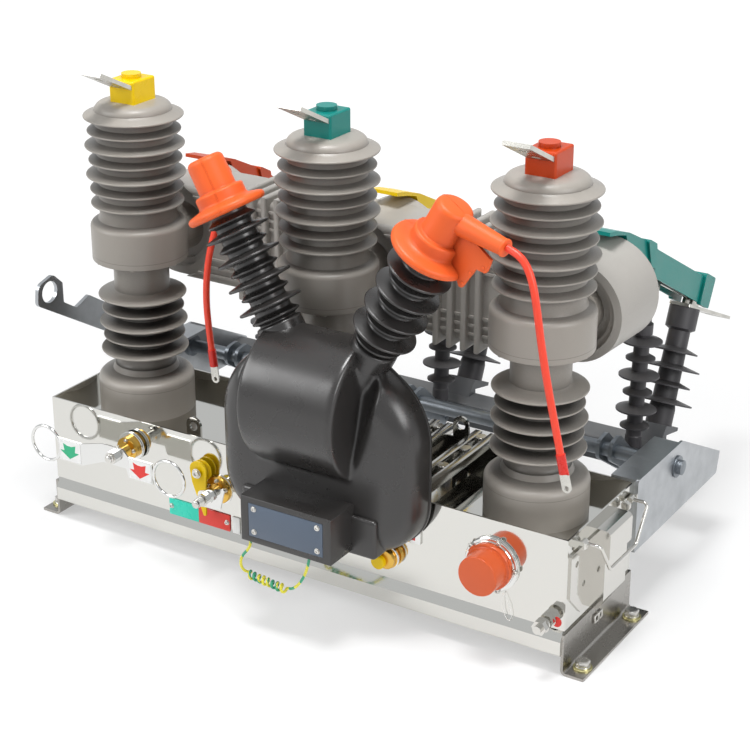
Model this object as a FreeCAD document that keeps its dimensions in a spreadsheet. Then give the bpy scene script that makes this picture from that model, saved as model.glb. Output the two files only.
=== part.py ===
import FreeCAD, Part
import math
import os
import Sketcher

# Outdoor vacuum circuit breaker with rear disconnector and voltage transformer.
# Frame: millimetres, +Z up, +X along the three poles, the disconnector towards +Y.
# Origin: middle of the tank's plan, at the height of the feet's undersides.

Vector = FreeCAD.Vector
Rotation = FreeCAD.Rotation
doc = FreeCAD.newDocument("VacuumBreaker")
sheet = doc.addObject("Spreadsheet::Sheet", "Sizes")

# Driving dimensions, in millimetres and degrees
DIMENSIONS = [
    # Tank, pan and feet
    ("phase_pitch", 340, "distance between pole axes"),
    ("pole_y", 4, "pole axes behind the tank's middle"),
    ("tank_beyond", 102.4, "tank beyond the outer pole axes"),
    ("tank_deep", 205, "tank along Y"),
    ("tank_wall", 2.5, "sheet of the tank"),
    ("rim_z", 203, "top of the tank's rim"),
    ("plate_z", 176, "top plate on which the poles stand"),
    ("plate_thick", 5, "top plate"),
    ("shoulder_z", 66.7, "foot of the tank's straight walls"),
    ("pan_edge_z", 51.4, "top of the pan's straight edge"),
    ("pan_z", 28.8, "underside of the pan"),
    ("pan_step", 6.8, "pan stands out under the walls"),
    ("pan_in", 2, "pan ends inside the tank's ends"),
    ("foot_sheet", 4, "steel of the feet"),
    ("foot_wide", 34.6, "lying leg of a foot"),
    ("foot_high", 62, "standing leg of a foot"),
    ("foot_long", 212, "foot along Y"),
    ("foot_bend", 8, "outer bend of a foot"),
    ("foot_bolt_in", 20.6, "bolt line of a foot from the pan"),
    ("foot_bolt_y", 79, "bolts either side of the middle"),
    ("foot_hole", 13, "bolt hole of a foot"),
    # Poles
    ("base_r", 73.6, "foot flange of a pole"),
    ("base_z", 236, "top of the foot flange"),
    ("neck_r", 42, "lower column of a pole"),
    ("neck_z", 258, "foot of the lower column"),
    ("collar_r", 72.2, "collar of a pole"),
    ("collar_z", 420.6, "underside of the collar"),
    ("collar_top_z", 480, "top edge of the collar"),
    ("column_r", 57.5, "upper column of a pole"),
    ("column_z", 495, "foot of the upper column"),
    ("dome_z", 660, "top of the upper column"),
    ("dome_round", 15, "rounded edge of the top"),
    ("shed_pitch", 22, "distance between sheds"),
    ("shed_rim", 2.4, "rim of a shed"),
    ("shed_drop", 3.5, "slope of a shed's underside"),
    ("shed_rise", 7, "slope of a shed's top"),
    ("upper_shed_z", 508.3, "lowest rim of the upper sheds"),
    ("upper_big_r", 74, "large upper shed"),
    ("upper_small_r", 69.4, "small upper shed"),
    ("lower_shed_z", 275.1, "lowest rim of the lower sheds"),
    ("lower_big_r", 66.8, "large lower shed"),
    ("lower_small_r", 62.3, "small lower shed"),
    ("arm_r", 38, "rear arm of a pole"),
    ("arm_z", 440, "height of the rear arm"),
    ("arm_end_y", 212, "rear end of the arm"),
    # Terminals on top
    ("cover_x", 45, "terminal cover along X"),
    ("cover_y", 52, "terminal cover along Y"),
    ("cover_front_y", -21, "front face of the terminal cover"),
    ("cover_top_z", 695.5, "top of the terminal cover"),
    ("cover_boss_r", 14.5, "boss on the terminal cover"),
    ("cover_boss", 6.5, "height of the boss"),
    ("bar_wide", 40, "terminal bar"),
    ("bar_thick", 6, "terminal bar"),
    ("bar_long", 84, "terminal bar"),
    ("bar_tilt", 26, "rise of the terminal bar, degrees"),
    ("bar_tip_y", -88, "free end of the terminal bar"),
    ("bar_tip_z", 719.5, "middle of the free end"),
    ("bar_hole", 13, "holes in the terminal bar"),
    ("bar_hole_first", 24, "first hole from the free end"),
    ("bar_hole_gap", 39, "distance between the holes"),
    # Sensor block behind the poles
    ("barrel_front_y", 94, "front face of a barrel"),
    ("barrel_rear_y", 207, "rear face of a barrel"),
    ("barrel_front_r", 73.7, "barrel at its front"),
    ("barrel_rear_r", 77.7, "barrel at its rear"),
    ("arm_clearance", 0.25, "barrel bore round the arm"),
    ("recess_r", 62, "stepped recess in the front of a barrel"),
    ("recess_step", 9, "depth of a step of the recess"),
    ("web_bottom_z", 366, "underside of the web"),
    ("web_top_z", 514, "top of the web"),
    ("web_front_y", 81, "front of the web"),
    ("web_rear_y", 190, "back of the web"),
    ("rib_pitch", 22.5, "upright ribs on the web"),
    ("rib_wide", 10, "upright rib"),
    ("rib_proud", 11, "height of an upright rib"),
    ("rail_rib_pitch", 13, "lengthwise ribs"),
    ("rail_rib", 4, "lengthwise rib"),
    # Rear frame
    ("side_out", 2.6, "side plate outside the tank's end"),
    ("side_sheet", 4, "side plate"),
    ("side_top_z", 206, "top of a side plate"),
    ("side_low_z", 93, "bottom of a side plate"),
    ("side_knee_y", 258, "where the top edge starts to fall"),
    ("side_rear_y", 413, "rear corner of a side plate"),
    ("side_rear_z", 127, "rear corner of a side plate"),
    ("flange_wide", 38, "flanges of a side plate"),
    ("beam_front_y", 352, "rear beam"),
    ("beam_rear_y", 404, "rear beam"),
    ("beam_top_z", 130, "top of the rear beam"),
    ("beam_high", 38, "rear beam"),
    ("beam_wall", 5, "rear beam"),
    # Support insulators on the rear beam
    ("post_y", 425, "foot of a support insulator"),
    ("post_foot_z", 142, "foot of a support insulator"),
    ("post_lean", 24, "lean to the rear, degrees"),
    ("post_long", 187.6, "length of a support insulator"),
    ("post_r", 17.2, "core of a support insulator"),
    ("post_end_r", 24, "thick end of a support insulator"),
    ("post_end", 38, "length of a thick end"),
    ("post_big_r", 45, "large shed"),
    ("post_small_r", 36, "small shed"),
    ("post_shed_first", 34, "first shed from the foot"),
    ("post_shed_pitch", 27, "sheds of a support insulator"),
    ("terminal_wide", 36, "rear terminal"),
    ("terminal_thick", 5, "rear terminal"),
    ("terminal_reach", 172.4, "rear terminal behind the insulator's axis"),
    # Shaft, cranks and pull rods
    ("shaft_y", 240, "disconnector shaft"),
    ("shaft_z", 172, "disconnector shaft"),
    ("shaft_r", 11, "disconnector shaft"),
    ("shaft_clearance", 0.05, "shaft in its bearings"),
    ("shaft_left", 21, "left end of the shaft outside the side plate"),
    ("shaft_right", 14, "right end of the shaft outside the side plate"),
    ("crank_pin_y", 326, "crank pin, closed"),
    ("crank_pin_z", 112, "crank pin, closed"),
    ("crank_thick", 6, "crank plate"),
    ("crank_gap", 14, "between the two plates of a crank"),
    ("pin_r", 4, "linkage pins"),
    ("pin_clearance", 0.05, "holes round the linkage pins"),
    ("rod_pin_y", 344.6, "upper pin of a pull rod, closed"),
    ("rod_pin_z", 372, "upper pin of a pull rod, closed"),
    ("rod_r", 12, "core of a pull rod"),
    ("rod_big_r", 31, "large shed of a pull rod"),
    ("rod_small_r", 22.5, "small shed of a pull rod"),
    ("rod_shed_first", 63, "first shed from the crank pin"),
    ("rod_core", 228, "top of a pull rod's insulator from the crank pin"),
    ("rod_shed_pitch", 27.2, "sheds of a pull rod"),
    # Blades
    ("hinge_y", 530, "blade hinge"),
    ("hinge_z", 328, "blade hinge"),
    ("hinge_pin_r", 5, "blade hinge"),
    ("blade_slope", 27.9, "fall of the blade to the rear, degrees"),
    ("blade_reach", 330, "hinge to the blade's tip"),
    ("blade_deep", 26, "blade bar"),
    ("blade_thick", 6, "blade bar"),
    ("blade_play", 0.5, "blade between its cheeks"),
    ("trough_wide", 46, "blade cover"),
    ("trough_wall", 3, "blade cover"),
    ("hood_start", 90, "hood starts before the blade's tip"),
    ("hood_crown", 30, "crown of the hood before the blade's tip"),
    ("hood_nose", 35, "hood beyond the blade's tip"),
    ("hood_lip", 80, "thin lip of the hood beyond the blade's tip"),
    ("hood_tip", 102, "end of the lip beyond the blade's tip"),
    ("cover_high", 25, "top of a blade cover above the blade's axis"),
    ("collar_proud", 4, "shoulder and heel outside a blade cover"),
    ("lever_out", 13, "operating lever outside the side plate"),
    ("lever_thick", 6, "operating lever"),
    # Transformer
    ("trans_x", 77, "middle of the transformer"),
    ("trans_back_y", -108, "back face of the transformer"),
    ("trans_front_y", -168, "front face of the transformer's rim"),
    ("cast_half", 160, "half of the casting along X"),
    ("cast_low_z", 125, "bottom of the casting"),
    ("cast_corner", 80, "round lower corners of the casting"),
    ("cast_shoulder_z", 347, "where the shoulders start"),
    ("cast_shoulder", 108, "round shoulders of the casting"),
    ("cast_ridge_half", 52, "ridge between the bushings"),
    ("cast_ridge_z", 422, "ridge between the bushings"),
    ("cast_soft", 38, "rounding of the casting's front"),
    ("scoop_from", 97, "hollow beside the drum from the middle"),
    ("scoop_r", 26, "hollow beside the drum"),
    ("winding_off", 8, "drum's middle left of the transformer's"),
    ("winding_y", -116, "axis of the winding drum"),
    ("winding_z", 327, "axis of the winding drum"),
    ("winding_r", 102, "winding drum"),
    ("winding_long", 153, "winding drum"),
    ("bushing_y", -118, "plane of the two bushings"),
    ("bushing_z", 282, "where the bushing axes cross"),
    ("bushing_lean", 29, "lean of each bushing, degrees"),
    ("bushing_r", 26, "core of a bushing"),
    ("bushing_long", 326, "top of a bushing from the crossing"),
    ("bushing_root_r", 33, "root of a bushing"),
    ("bushing_root", 141, "root of a bushing from the crossing"),
    ("bushing_shed", 172, "first shed from the crossing"),
    ("bushing_big_r", 46, "large shed of a bushing"),
    ("bushing_small_r", 35, "small shed of a bushing"),
    ("cap_brim_r", 56, "brim of a rubber cap"),
    ("cap_ring_r", 35, "ring of a rubber cap"),
    ("cap_r", 26, "rubber cap"),
    ("cap_top", 408, "top of a rubber cap from the crossing"),
    ("spout_long", 95.5, "spout of a cap"),
    ("spout_from", 388, "spout from the crossing of the axes"),
    ("spout_r", 11, "cable spout of a cap"),
    ("box_wide", 148, "secondary terminal box"),
    ("box_low_z", 138, "secondary terminal box"),
    ("box_top_z", 207, "secondary terminal box"),
    ("box_front_y", -226, "secondary terminal box"),
    # Front fittings
    ("ring_lever_x", -284, "opening and closing lever"),
    ("ring_lever_z", 161, "opening and closing lever"),
    ("ring_lever_y", -150, "front face of the lever"),
    ("ring_left", 135, "left ring from the axis"),
    ("ring_right", 100, "right ring from the axis"),
    ("ring_fall", 12.5, "rings below the axis"),
    ("ring_r", 30.5, "outer radius of a ring"),
    ("wire_thick", 5, "lever's round steel"),
    ("bush_r", 18, "brass bush on the front"),
    ("bush_long", 18, "brass bush on the front"),
    ("strip_thick", 2.5, "flat strips of the front levers"),
    ("spindle_r", 6, "spindle of a front lever"),
    ("charge_x", -126, "charging spindle"),
    ("charge_z", 128, "charging spindle"),
    ("charge_y", -134, "front face of the charging lever"),
    ("pointer_x", -152, "pointer of the charging state"),
    ("pointer_z", 155, "pointer of the charging state"),
    ("pointer_y", -116.5, "back face of the pointer"),
    ("plug_x", 331.6, "control plug"),
    ("plug_z", 138, "control plug"),
    ("plug_flange_r", 40, "flange of the control socket"),
    ("plug_r", 29.5, "cap of the control plug"),
    ("plug_ring_r", 34, "grip ring of the control plug"),
    ("plug_front_y", -148, "front of the control plug"),
    ("spindle_clearance", 0.05, "front spindles in their bushes"),
    ("stud_in", 22.9, "earth stud from the tank's end"),
    ("stud_z", 80, "earth stud"),
    ("lead_r", 5, "red leads"),
    ("earth_r", 2, "earth wire"),
    ("sleeve_long", 26, "sleeve of a lead's lug"),
    ("lug_wide", 13, "ring lug"),
    ("lug_long", 22, "ring lug"),
    ("lug_flat", 2.5, "ring lug"),
    ("lug_hole_r", 3.2, "ring lug"),
    ("earth_coil_r", 7, "outer shape of the earth wire's coil"),
    ("rail_left_x", 112, "left rail"),
    ("rail_right_x", 184, "right rail"),
    ("rail_wide", 36, "rails"),
    ("ear_high", 42, "lifting ears"),
    ("ear_hole_r", 7, "lifting ears"),
    ("hood_wide", 70, "end cover"),
    ("hood_low_z", 70, "bottom of the end cover"),
    ("hood_step_z", 143, "foot of the end cover's upper part"),
    ("hood_top_z", 191, "top of the end cover"),
    ("hood_out", 28, "upper part of the end cover outside the tank"),
    ("hood_low_out", 22, "lower part of the end cover outside the tank"),
    ("bail_off", 6, "bail pivots outside the tank's end"),
    ("bail_z", 187, "bail pivots"),
    ("bail_pin_r", 2.2, "pin of a bail pivot"),
    ("eye_r", 4.5, "eye of a bail"),
    ("eye_long", 12, "eye of a bail"),
    ("lug_thick", 3, "lugs that carry the bail's pins"),
    ("bail_y", 7, "middle of a bail"),
    ("bail_half", 75, "bail pivots either side of its middle"),
    ("bail_foot", 41, "half of a bail's grip"),
    ("bail_out", 31, "bail outside the tank's end"),
    ("bail_drop", 49, "height of a bail"),
    ("bail_r", 2.5, "bail wire"),
    ("bail_bend", 7, "bail wire's bends"),
]
for row, (alias, value, note) in enumerate(DIMENSIONS, start=1):
    sheet.set("A%d" % row, str(value))
    sheet.setAlias("A%d" % row, alias)
    sheet.set("B%d" % row, note)
doc.recompute()

PHASES = [("a", -1), ("b", 0), ("c", 1)]
END = "(Sizes.phase_pitch + Sizes.tank_beyond)"
PAN_END = "(%s - Sizes.pan_in)" % END
SIDE_X = "(%s + Sizes.side_out)" % END
BAIL_X = "(%s + Sizes.bail_off)" % END
nodes = []


def amount(expression):
    """Number that an expression over the sheet gives."""
    return float(sheet.evalExpression(str(expression)))


def bind(item, path, expression):
    item.setExpression(path, str(expression))


def place(item, x, y, z, turn=None):
    """Puts an object at a point given by expressions, after an optional turn."""
    if turn is not None:
        item.Placement = FreeCAD.Placement(Vector(), turn)
    bind(item, "Placement.Base.x", x)
    bind(item, "Placement.Base.y", y)
    bind(item, "Placement.Base.z", z)
    return item


def node(item, label):
    """Names an object as a sub-part of the breaker."""
    item.Label = label
    nodes.append(item)
    return item


def box(name, x0, x1, y0, y1, z0, z1):
    """Box between two corners."""
    item = doc.addObject("Part::Box", name)
    bind(item, "Length", "(%s) - (%s)" % (x1, x0))
    bind(item, "Width", "(%s) - (%s)" % (y1, y0))
    bind(item, "Height", "(%s) - (%s)" % (z1, z0))
    return place(item, x0, y0, z0)


ALONG_X = Rotation(Vector(0, 1, 0), 90)
ALONG_Y = Rotation(Vector(1, 0, 0), -90)
TOWARDS_FRONT = Rotation(Vector(1, 0, 0), 90)


def cylinder(name, radius, height, x, y, z, turn=None):
    item = doc.addObject("Part::Cylinder", name)
    bind(item, "Radius", radius)
    bind(item, "Height", height)
    return place(item, x, y, z, turn)


def cone(name, radius1, radius2, height, x, y, z, turn=None):
    item = doc.addObject("Part::Cone", name)
    bind(item, "Radius1", radius1)
    bind(item, "Radius2", radius2)
    bind(item, "Height", height)
    return place(item, x, y, z, turn)


def prism(name, across_flats, height, x, y, z, turn=None):
    """Hexagonal head."""
    item = doc.addObject("Part::Prism", name)
    item.Polygon = 6
    bind(item, "Circumradius", "(%s) / sqrt(3)" % across_flats)
    bind(item, "Height", height)
    return place(item, x, y, z, turn)


def fuse(name, pieces):
    item = doc.addObject("Part::MultiFuse", name)
    item.Shapes = pieces
    item.Refine = True
    return item


def group(name, pieces):
    """Separate equal solids that share one sub-part."""
    item = doc.addObject("Part::Compound", name)
    item.Links = pieces
    return item


def cut(name, base, tools):
    tool = tools[0] if len(tools) == 1 else fuse(name + "Tools", tools)
    item = doc.addObject("Part::Cut", name)
    item.Base = base
    item.Tool = tool
    item.Refine = True
    return item


def rounded(name, base, radius, chosen):
    """Fillets the edges of a solid that the test picks."""
    doc.recompute()
    item = doc.addObject("Part::Fillet", name)
    item.Base = base
    size = amount(radius)
    picks = [i for i, edge in enumerate(base.Shape.Edges, start=1) if chosen(edge)]
    item.Edges = [(i, size, size) for i in picks]
    return item


def upright(edge):
    """Straight edge parallel to Z."""
    ends = edge.Vertexes
    if len(ends) != 2 or not isinstance(edge.Curve, Part.Line):
        return False
    along = ends[1].Point - ends[0].Point
    return abs(along.x) < 0.01 and abs(along.y) < 0.01


def new_body(name):
    return doc.addObject("PartDesign::Body", name)


def plane(body, role):
    return [item for item in body.Origin.OriginFeatures if item.Role == role][0]


def sketch_on(body, name, role, offset=0):
    """Sketch on one of the body's own planes, moved along its normal."""
    sketch = body.newObject("Sketcher::SketchObject", name)
    sketch.AttachmentSupport = [(plane(body, role), "")]
    sketch.MapMode = "FlatFace"
    bind(sketch, "AttachmentOffset.Base.z", offset)
    return sketch


def outline(sketch, corners):
    """Closed outline through corners (across, up, radius), all bound to the sheet."""
    count = len(corners)
    points = [Vector(amount(c[0]), amount(c[1]), 0) for c in corners]
    radii = [amount(c[2]) if len(c) > 2 else 0 for c in corners]
    starts, ends, centres = [], [], []
    for i, point in enumerate(points):
        back = (points[i - 1] - point).normalize()
        ahead = (points[(i + 1) % count] - point).normalize()
        if radii[i] > 0:
            half = back.getAngle(ahead) / 2
            reach = radii[i] / math.tan(half)
            ends.append(point + back * reach)
            starts.append(point + ahead * reach)
            centres.append(point + (back + ahead).normalize() * (radii[i] / math.sin(half)))
        else:
            ends.append(point)
            starts.append(point)
            centres.append(None)
    lines = []
    for i in range(count):
        segment = Part.LineSegment(starts[i], ends[(i + 1) % count])
        lines.append(sketch.addGeometry(segment, False))
    for i, point in enumerate(points):
        before, after = lines[i - 1], lines[i]
        if centres[i] is None:
            sketch.addConstraint(Sketcher.Constraint("Coincident", before, 2, after, 1))
            held, end = after, 1
        else:
            first, last = ends[i] - centres[i], starts[i] - centres[i]
            left_turn = first.cross(last).z > 0
            if not left_turn:
                first, last = last, first
            round_corner = Part.Circle(centres[i], Vector(0, 0, 1), radii[i])
            angle1 = math.atan2(first.y, first.x)
            angle2 = math.atan2(last.y, last.x)
            arc = sketch.addGeometry(Part.ArcOfCircle(round_corner, angle1, angle2), False)
            near, far = (1, 2) if left_turn else (2, 1)
            sketch.addConstraint(Sketcher.Constraint("Tangent", before, 2, arc, near))
            sketch.addConstraint(Sketcher.Constraint("Tangent", arc, far, after, 1))
            number = sketch.addConstraint(Sketcher.Constraint("Radius", arc, radii[i]))
            bind(sketch, "Constraints[%d]" % number, corners[i][2])
            held, end = sketch.addGeometry(Part.Point(point), True), 1
            sketch.addConstraint(Sketcher.Constraint("PointOnObject", held, end, before))
            sketch.addConstraint(Sketcher.Constraint("PointOnObject", held, end, after))
        for kind, value, expression, axis in (
            ("DistanceX", point.x, corners[i][0], -2),
            ("DistanceY", point.y, corners[i][1], -1),
        ):
            if str(expression) == "0":
                sketch.addConstraint(Sketcher.Constraint("PointOnObject", held, end, axis))
            else:
                number = sketch.addConstraint(Sketcher.Constraint(kind, held, end, value))
                bind(sketch, "Constraints[%d]" % number, expression)
    return sketch


def circle(sketch, across, up, radius):
    """Circle bound to the sheet, as an outline or as a hole in one."""
    centre = Vector(amount(across), amount(up), 0)
    ring = sketch.addGeometry(Part.Circle(centre, Vector(0, 0, 1), amount(radius)), False)
    for kind, value, expression, axis in (
        ("DistanceX", centre.x, across, -2),
        ("DistanceY", centre.y, up, -1),
    ):
        if str(expression) == "0":
            sketch.addConstraint(Sketcher.Constraint("PointOnObject", ring, 3, axis))
        else:
            number = sketch.addConstraint(Sketcher.Constraint(kind, ring, 3, value))
            bind(sketch, "Constraints[%d]" % number, expression)
    number = sketch.addConstraint(Sketcher.Constraint("Radius", ring, amount(radius)))
    bind(sketch, "Constraints[%d]" % number, radius)
    return sketch


def pad(body, name, sketch, length, both_ways=False, reverse=False):
    item = body.newObject("PartDesign::Pad", name)
    item.Profile = sketch
    item.Midplane = both_ways
    item.Reversed = reverse
    bind(item, "Length", length)
    return item


def pocket(body, name, sketch, length, both_ways=False, reverse=False):
    item = body.newObject("PartDesign::Pocket", name)
    item.Profile = sketch
    item.Midplane = both_ways
    item.Reversed = reverse
    bind(item, "Length", length)
    return item


def revolve(body, name, sketch):
    item = body.newObject("PartDesign::Revolution", name)
    item.Profile = sketch
    item.ReferenceAxis = (sketch, ["V_Axis"])
    item.Angle = 360
    return item


def row_of(body, name, feature, length, number):
    """Repeats a feature along the body's Z axis."""
    item = body.newObject("PartDesign::LinearPattern", name)
    item.Originals = [feature]
    item.Direction = (plane(body, "Z_Axis"), [""])
    bind(item, "Length", length)
    item.Occurrences = number
    body.Tip = item
    return item


def turned(name, corners):
    """Body turned about its Z axis from corners (radius, height, rounding)."""
    body = new_body(name)
    sketch = outline(sketch_on(body, name + "Profile", "XZ_Plane"), corners)
    revolve(body, name + "Turned", sketch)
    return body


def shed_row(body, name, core, rim, height, pitch, number):
    """Row of equal sheds round a column; the height is that of the lowest rim's edge."""
    inside = "(%s) - 2" % core
    corners = [
        (inside, "(%s) + Sizes.shed_drop" % height),
        (rim, height),
        (rim, "(%s) + Sizes.shed_rim" % height),
        (inside, "(%s) + Sizes.shed_rim + Sizes.shed_rise" % height),
    ]
    sketch = outline(sketch_on(body, name + "Profile", "XZ_Plane"), corners)
    shed = revolve(body, name + "Shed", sketch)
    if number > 1:
        row_of(body, name + "Row", shed, "(%s) * %d" % (pitch, number - 1), number)
    return shed


# Tank: folded stainless box, its top plate set down inside the rim
def make_tank():
    half_x, half_y = END, "Sizes.tank_deep / 2"
    inner_x = END + " - Sizes.tank_wall"
    inner_y = "Sizes.tank_deep / 2 - Sizes.tank_wall"
    outside = box("TankOutside", "-" + half_x, half_x, "-" + half_y, half_y,
                  "Sizes.shoulder_z", "Sizes.rim_z")
    above = box("TankRecess", "-(%s)" % inner_x, inner_x, "-(%s)" % inner_y, inner_y,
                "Sizes.plate_z", "Sizes.rim_z + 1")
    below = box("TankHollow", "-(%s)" % inner_x, inner_x, "-(%s)" % inner_y, inner_y,
                "Sizes.shoulder_z - 1", "Sizes.plate_z - Sizes.plate_thick")
    pieces = [cut("TankSheet", outside, [above, below])]
    for name, way in (("Front", -1), ("Rear", 1)):
        near = "Sizes.bail_y + %d * (Sizes.bail_half + Sizes.eye_long / 2 + 0.3)" % way
        far = "%s + %d * Sizes.lug_thick" % (near, way)
        low, high = (near, far) if way > 0 else (far, near)
        pieces.append(box("BailLug" + name, half_x + " - 0.5", BAIL_X + " + 5", low, high,
                          "Sizes.bail_z - 5", "Sizes.bail_z + 5"))
        pin_y = "Sizes.bail_y + %d * Sizes.bail_half + (Sizes.eye_long + 1) / 2" % way
        pieces.append(cylinder("BailPin" + name, "Sizes.bail_pin_r", "Sizes.eye_long + 1",
                               BAIL_X, pin_y, "Sizes.bail_z", TOWARDS_FRONT))
    node(fuse("TankShell", pieces), "tank_shell")


# Pan: bottom cover, standing out under the walls with a sloped shoulder
def make_pan():
    body = new_body("TankPan")
    out = "Sizes.tank_deep / 2 + Sizes.pan_step"
    top = "Sizes.tank_deep / 2"
    corners = [
        ("-(%s)" % out, "Sizes.pan_z", "3"),
        (out, "Sizes.pan_z", "3"),
        (out, "Sizes.pan_edge_z"),
        (top, "Sizes.shoulder_z"),
        ("-" + top, "Sizes.shoulder_z"),
        ("-(%s)" % out, "Sizes.pan_edge_z"),
    ]
    profile = outline(sketch_on(body, "PanProfile", "YZ_Plane"), corners)
    pad(body, "PanOutside", profile, PAN_END + " * 2", both_ways=True)
    inner_x = "(%s - Sizes.tank_wall)" % PAN_END
    inner_y = "(Sizes.tank_deep / 2 - Sizes.tank_wall)"
    hollow = outline(sketch_on(body, "PanHollowProfile", "XY_Plane", "Sizes.shoulder_z"), [
        ("-" + inner_x, "-" + inner_y),
        (inner_x, "-" + inner_y),
        (inner_x, inner_y),
        ("-" + inner_x, inner_y),
    ])
    pocket(body, "PanHollow", hollow, "Sizes.shoulder_z - Sizes.pan_z - Sizes.tank_wall")
    node(body, "tank_pan")


# Feet: bent angles across the tank's ends, each with two holes for the mounting bolts
def make_feet():
    for side, sign in (("left", -1), ("right", 1)):
        body = new_body("Foot" + side.title())
        inner = PAN_END
        reach = PAN_END + " + Sizes.foot_wide"
        thick = "Sizes.foot_sheet"
        corners = [
            (inner, "0", "Sizes.foot_bend"),
            (reach, "0"),
            (reach, thick),
            ("%s + %s" % (inner, thick), thick, "Sizes.foot_bend - Sizes.foot_sheet"),
            ("%s + %s" % (inner, thick), "Sizes.foot_high"),
            (inner, "Sizes.foot_high"),
        ]
        if sign < 0:
            corners = [("-(%s)" % c[0],) + c[1:] for c in corners]
        profile = outline(sketch_on(body, "FootProfile" + side, "XZ_Plane"), corners)
        pad(body, "FootAngle" + side, profile, "Sizes.foot_long", both_ways=True)
        for spot, way in (("Front", -1), ("Rear", 1)):
            name = "FootHole" + side + spot
            sketch = sketch_on(body, name + "Profile", "XY_Plane", "Sizes.foot_sheet + 1")
            circle(sketch, "%d * (%s + Sizes.foot_bolt_in)" % (sign, PAN_END),
                   "%d * Sizes.foot_bolt_y" % way, "Sizes.foot_hole / 2")
            pocket(body, name, sketch, "Sizes.foot_sheet + 2")
        node(body, "foot_" + side)


# Poles: cast columns with a foot flange, two stacks of sheds, a collar and a rear arm
def make_pole(phase, place_x):
    name = "Pole" + phase.upper()
    body = turned(name, [
        ("0", "Sizes.plate_z"),
        ("Sizes.base_r", "Sizes.plate_z"),
        ("Sizes.base_r", "Sizes.base_z", "10"),
        ("Sizes.neck_r + 8", "Sizes.base_z + 6", "8"),
        ("Sizes.neck_r", "Sizes.neck_z"),
        ("Sizes.neck_r", "Sizes.collar_z"),
        ("Sizes.collar_r", "Sizes.collar_z"),
        ("Sizes.collar_r", "Sizes.collar_top_z", "9"),
        ("Sizes.column_r", "Sizes.column_z"),
        ("Sizes.column_r", "Sizes.dome_z", "Sizes.dome_round"),
        ("0", "Sizes.dome_z"),
    ])
    double = "Sizes.shed_pitch * 2"
    low, high = "Sizes.lower_shed_z", "Sizes.upper_shed_z"
    shed_row(body, name + "LowBig", "Sizes.neck_r", "Sizes.lower_big_r", low, double, 3)
    shed_row(body, name + "LowSmall", "Sizes.neck_r", "Sizes.lower_small_r",
             low + " + Sizes.shed_pitch", double, 2)
    shed_row(body, name + "HighEnd", "Sizes.column_r", "Sizes.upper_small_r", high, double, 1)
    shed_row(body, name + "HighSmall", "Sizes.column_r", "Sizes.upper_small_r",
             high + " + Sizes.shed_pitch", double, 3)
    shed_row(body, name + "HighBig", "Sizes.column_r", "Sizes.upper_big_r",
             high + " + Sizes.shed_pitch * 2", double, 3)
    sketch = sketch_on(body, name + "ArmProfile", "XZ_Plane")
    circle(sketch, "0", "Sizes.arm_z", "Sizes.arm_r")
    pad(body, name + "Arm", sketch, "Sizes.arm_end_y - Sizes.pole_y", reverse=True)
    place(body, "%d * Sizes.phase_pitch" % place_x, "Sizes.pole_y", "0")
    node(body, "pole_" + phase)


def tilt(item, axis, expression):
    """Turns an object about an axis by an angle from the sheet."""
    base = item.Placement.Base
    item.Placement = FreeCAD.Placement(base, Rotation(axis, amount(expression)))
    bind(item, "Placement.Rotation.Angle", expression)
    return item


# Terminals: coloured cover on each pole and a tilted flat bar with two holes
def make_terminal(phase, place_x):
    name = "Terminal" + phase.upper()
    pole_x = "%d * Sizes.phase_pitch" % place_x
    rear_y = "Sizes.cover_front_y + Sizes.cover_y"
    block = box(name + "Block", pole_x + " - Sizes.cover_x / 2", pole_x + " + Sizes.cover_x / 2",
                "Sizes.cover_front_y", rear_y, "Sizes.dome_z", "Sizes.cover_top_z")
    low = amount("Sizes.dome_z") + 0.1
    soft = rounded(name + "Soft", block, "3", lambda edge: edge.BoundBox.ZMax > low)
    boss = cylinder(name + "Boss", "Sizes.cover_boss_r", "Sizes.cover_boss", pole_x, "Sizes.pole_y",
                    "Sizes.cover_top_z")

    def bar_body(label):
        body = new_body(label)
        half = "Sizes.bar_wide / 2"
        profile = outline(sketch_on(body, label + "Profile", "XY_Plane"), [
            ("-" + half, "0"),
            (half, "0"),
            (half, "Sizes.bar_long"),
            ("-" + half, "Sizes.bar_long"),
        ])
        circle(profile, "0", "Sizes.bar_hole_first", "Sizes.bar_hole / 2")
        circle(profile, "0", "Sizes.bar_hole_first + Sizes.bar_hole_gap", "Sizes.bar_hole / 2")
        pad(body, label + "Pad", profile, "Sizes.bar_thick", both_ways=True)
        place(body, pole_x, "Sizes.bar_tip_y", "Sizes.bar_tip_z")
        return tilt(body, Vector(-1, 0, 0), "Sizes.bar_tilt")

    bar = bar_body(name + "Bar")
    slot = bar_body(name + "Slot")
    node(cut(name + "Cover", fuse(name + "Shape", [soft, boss]), [slot]), "terminal_cover_" + phase)
    node(bar, "terminal_bar_" + phase)


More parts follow.
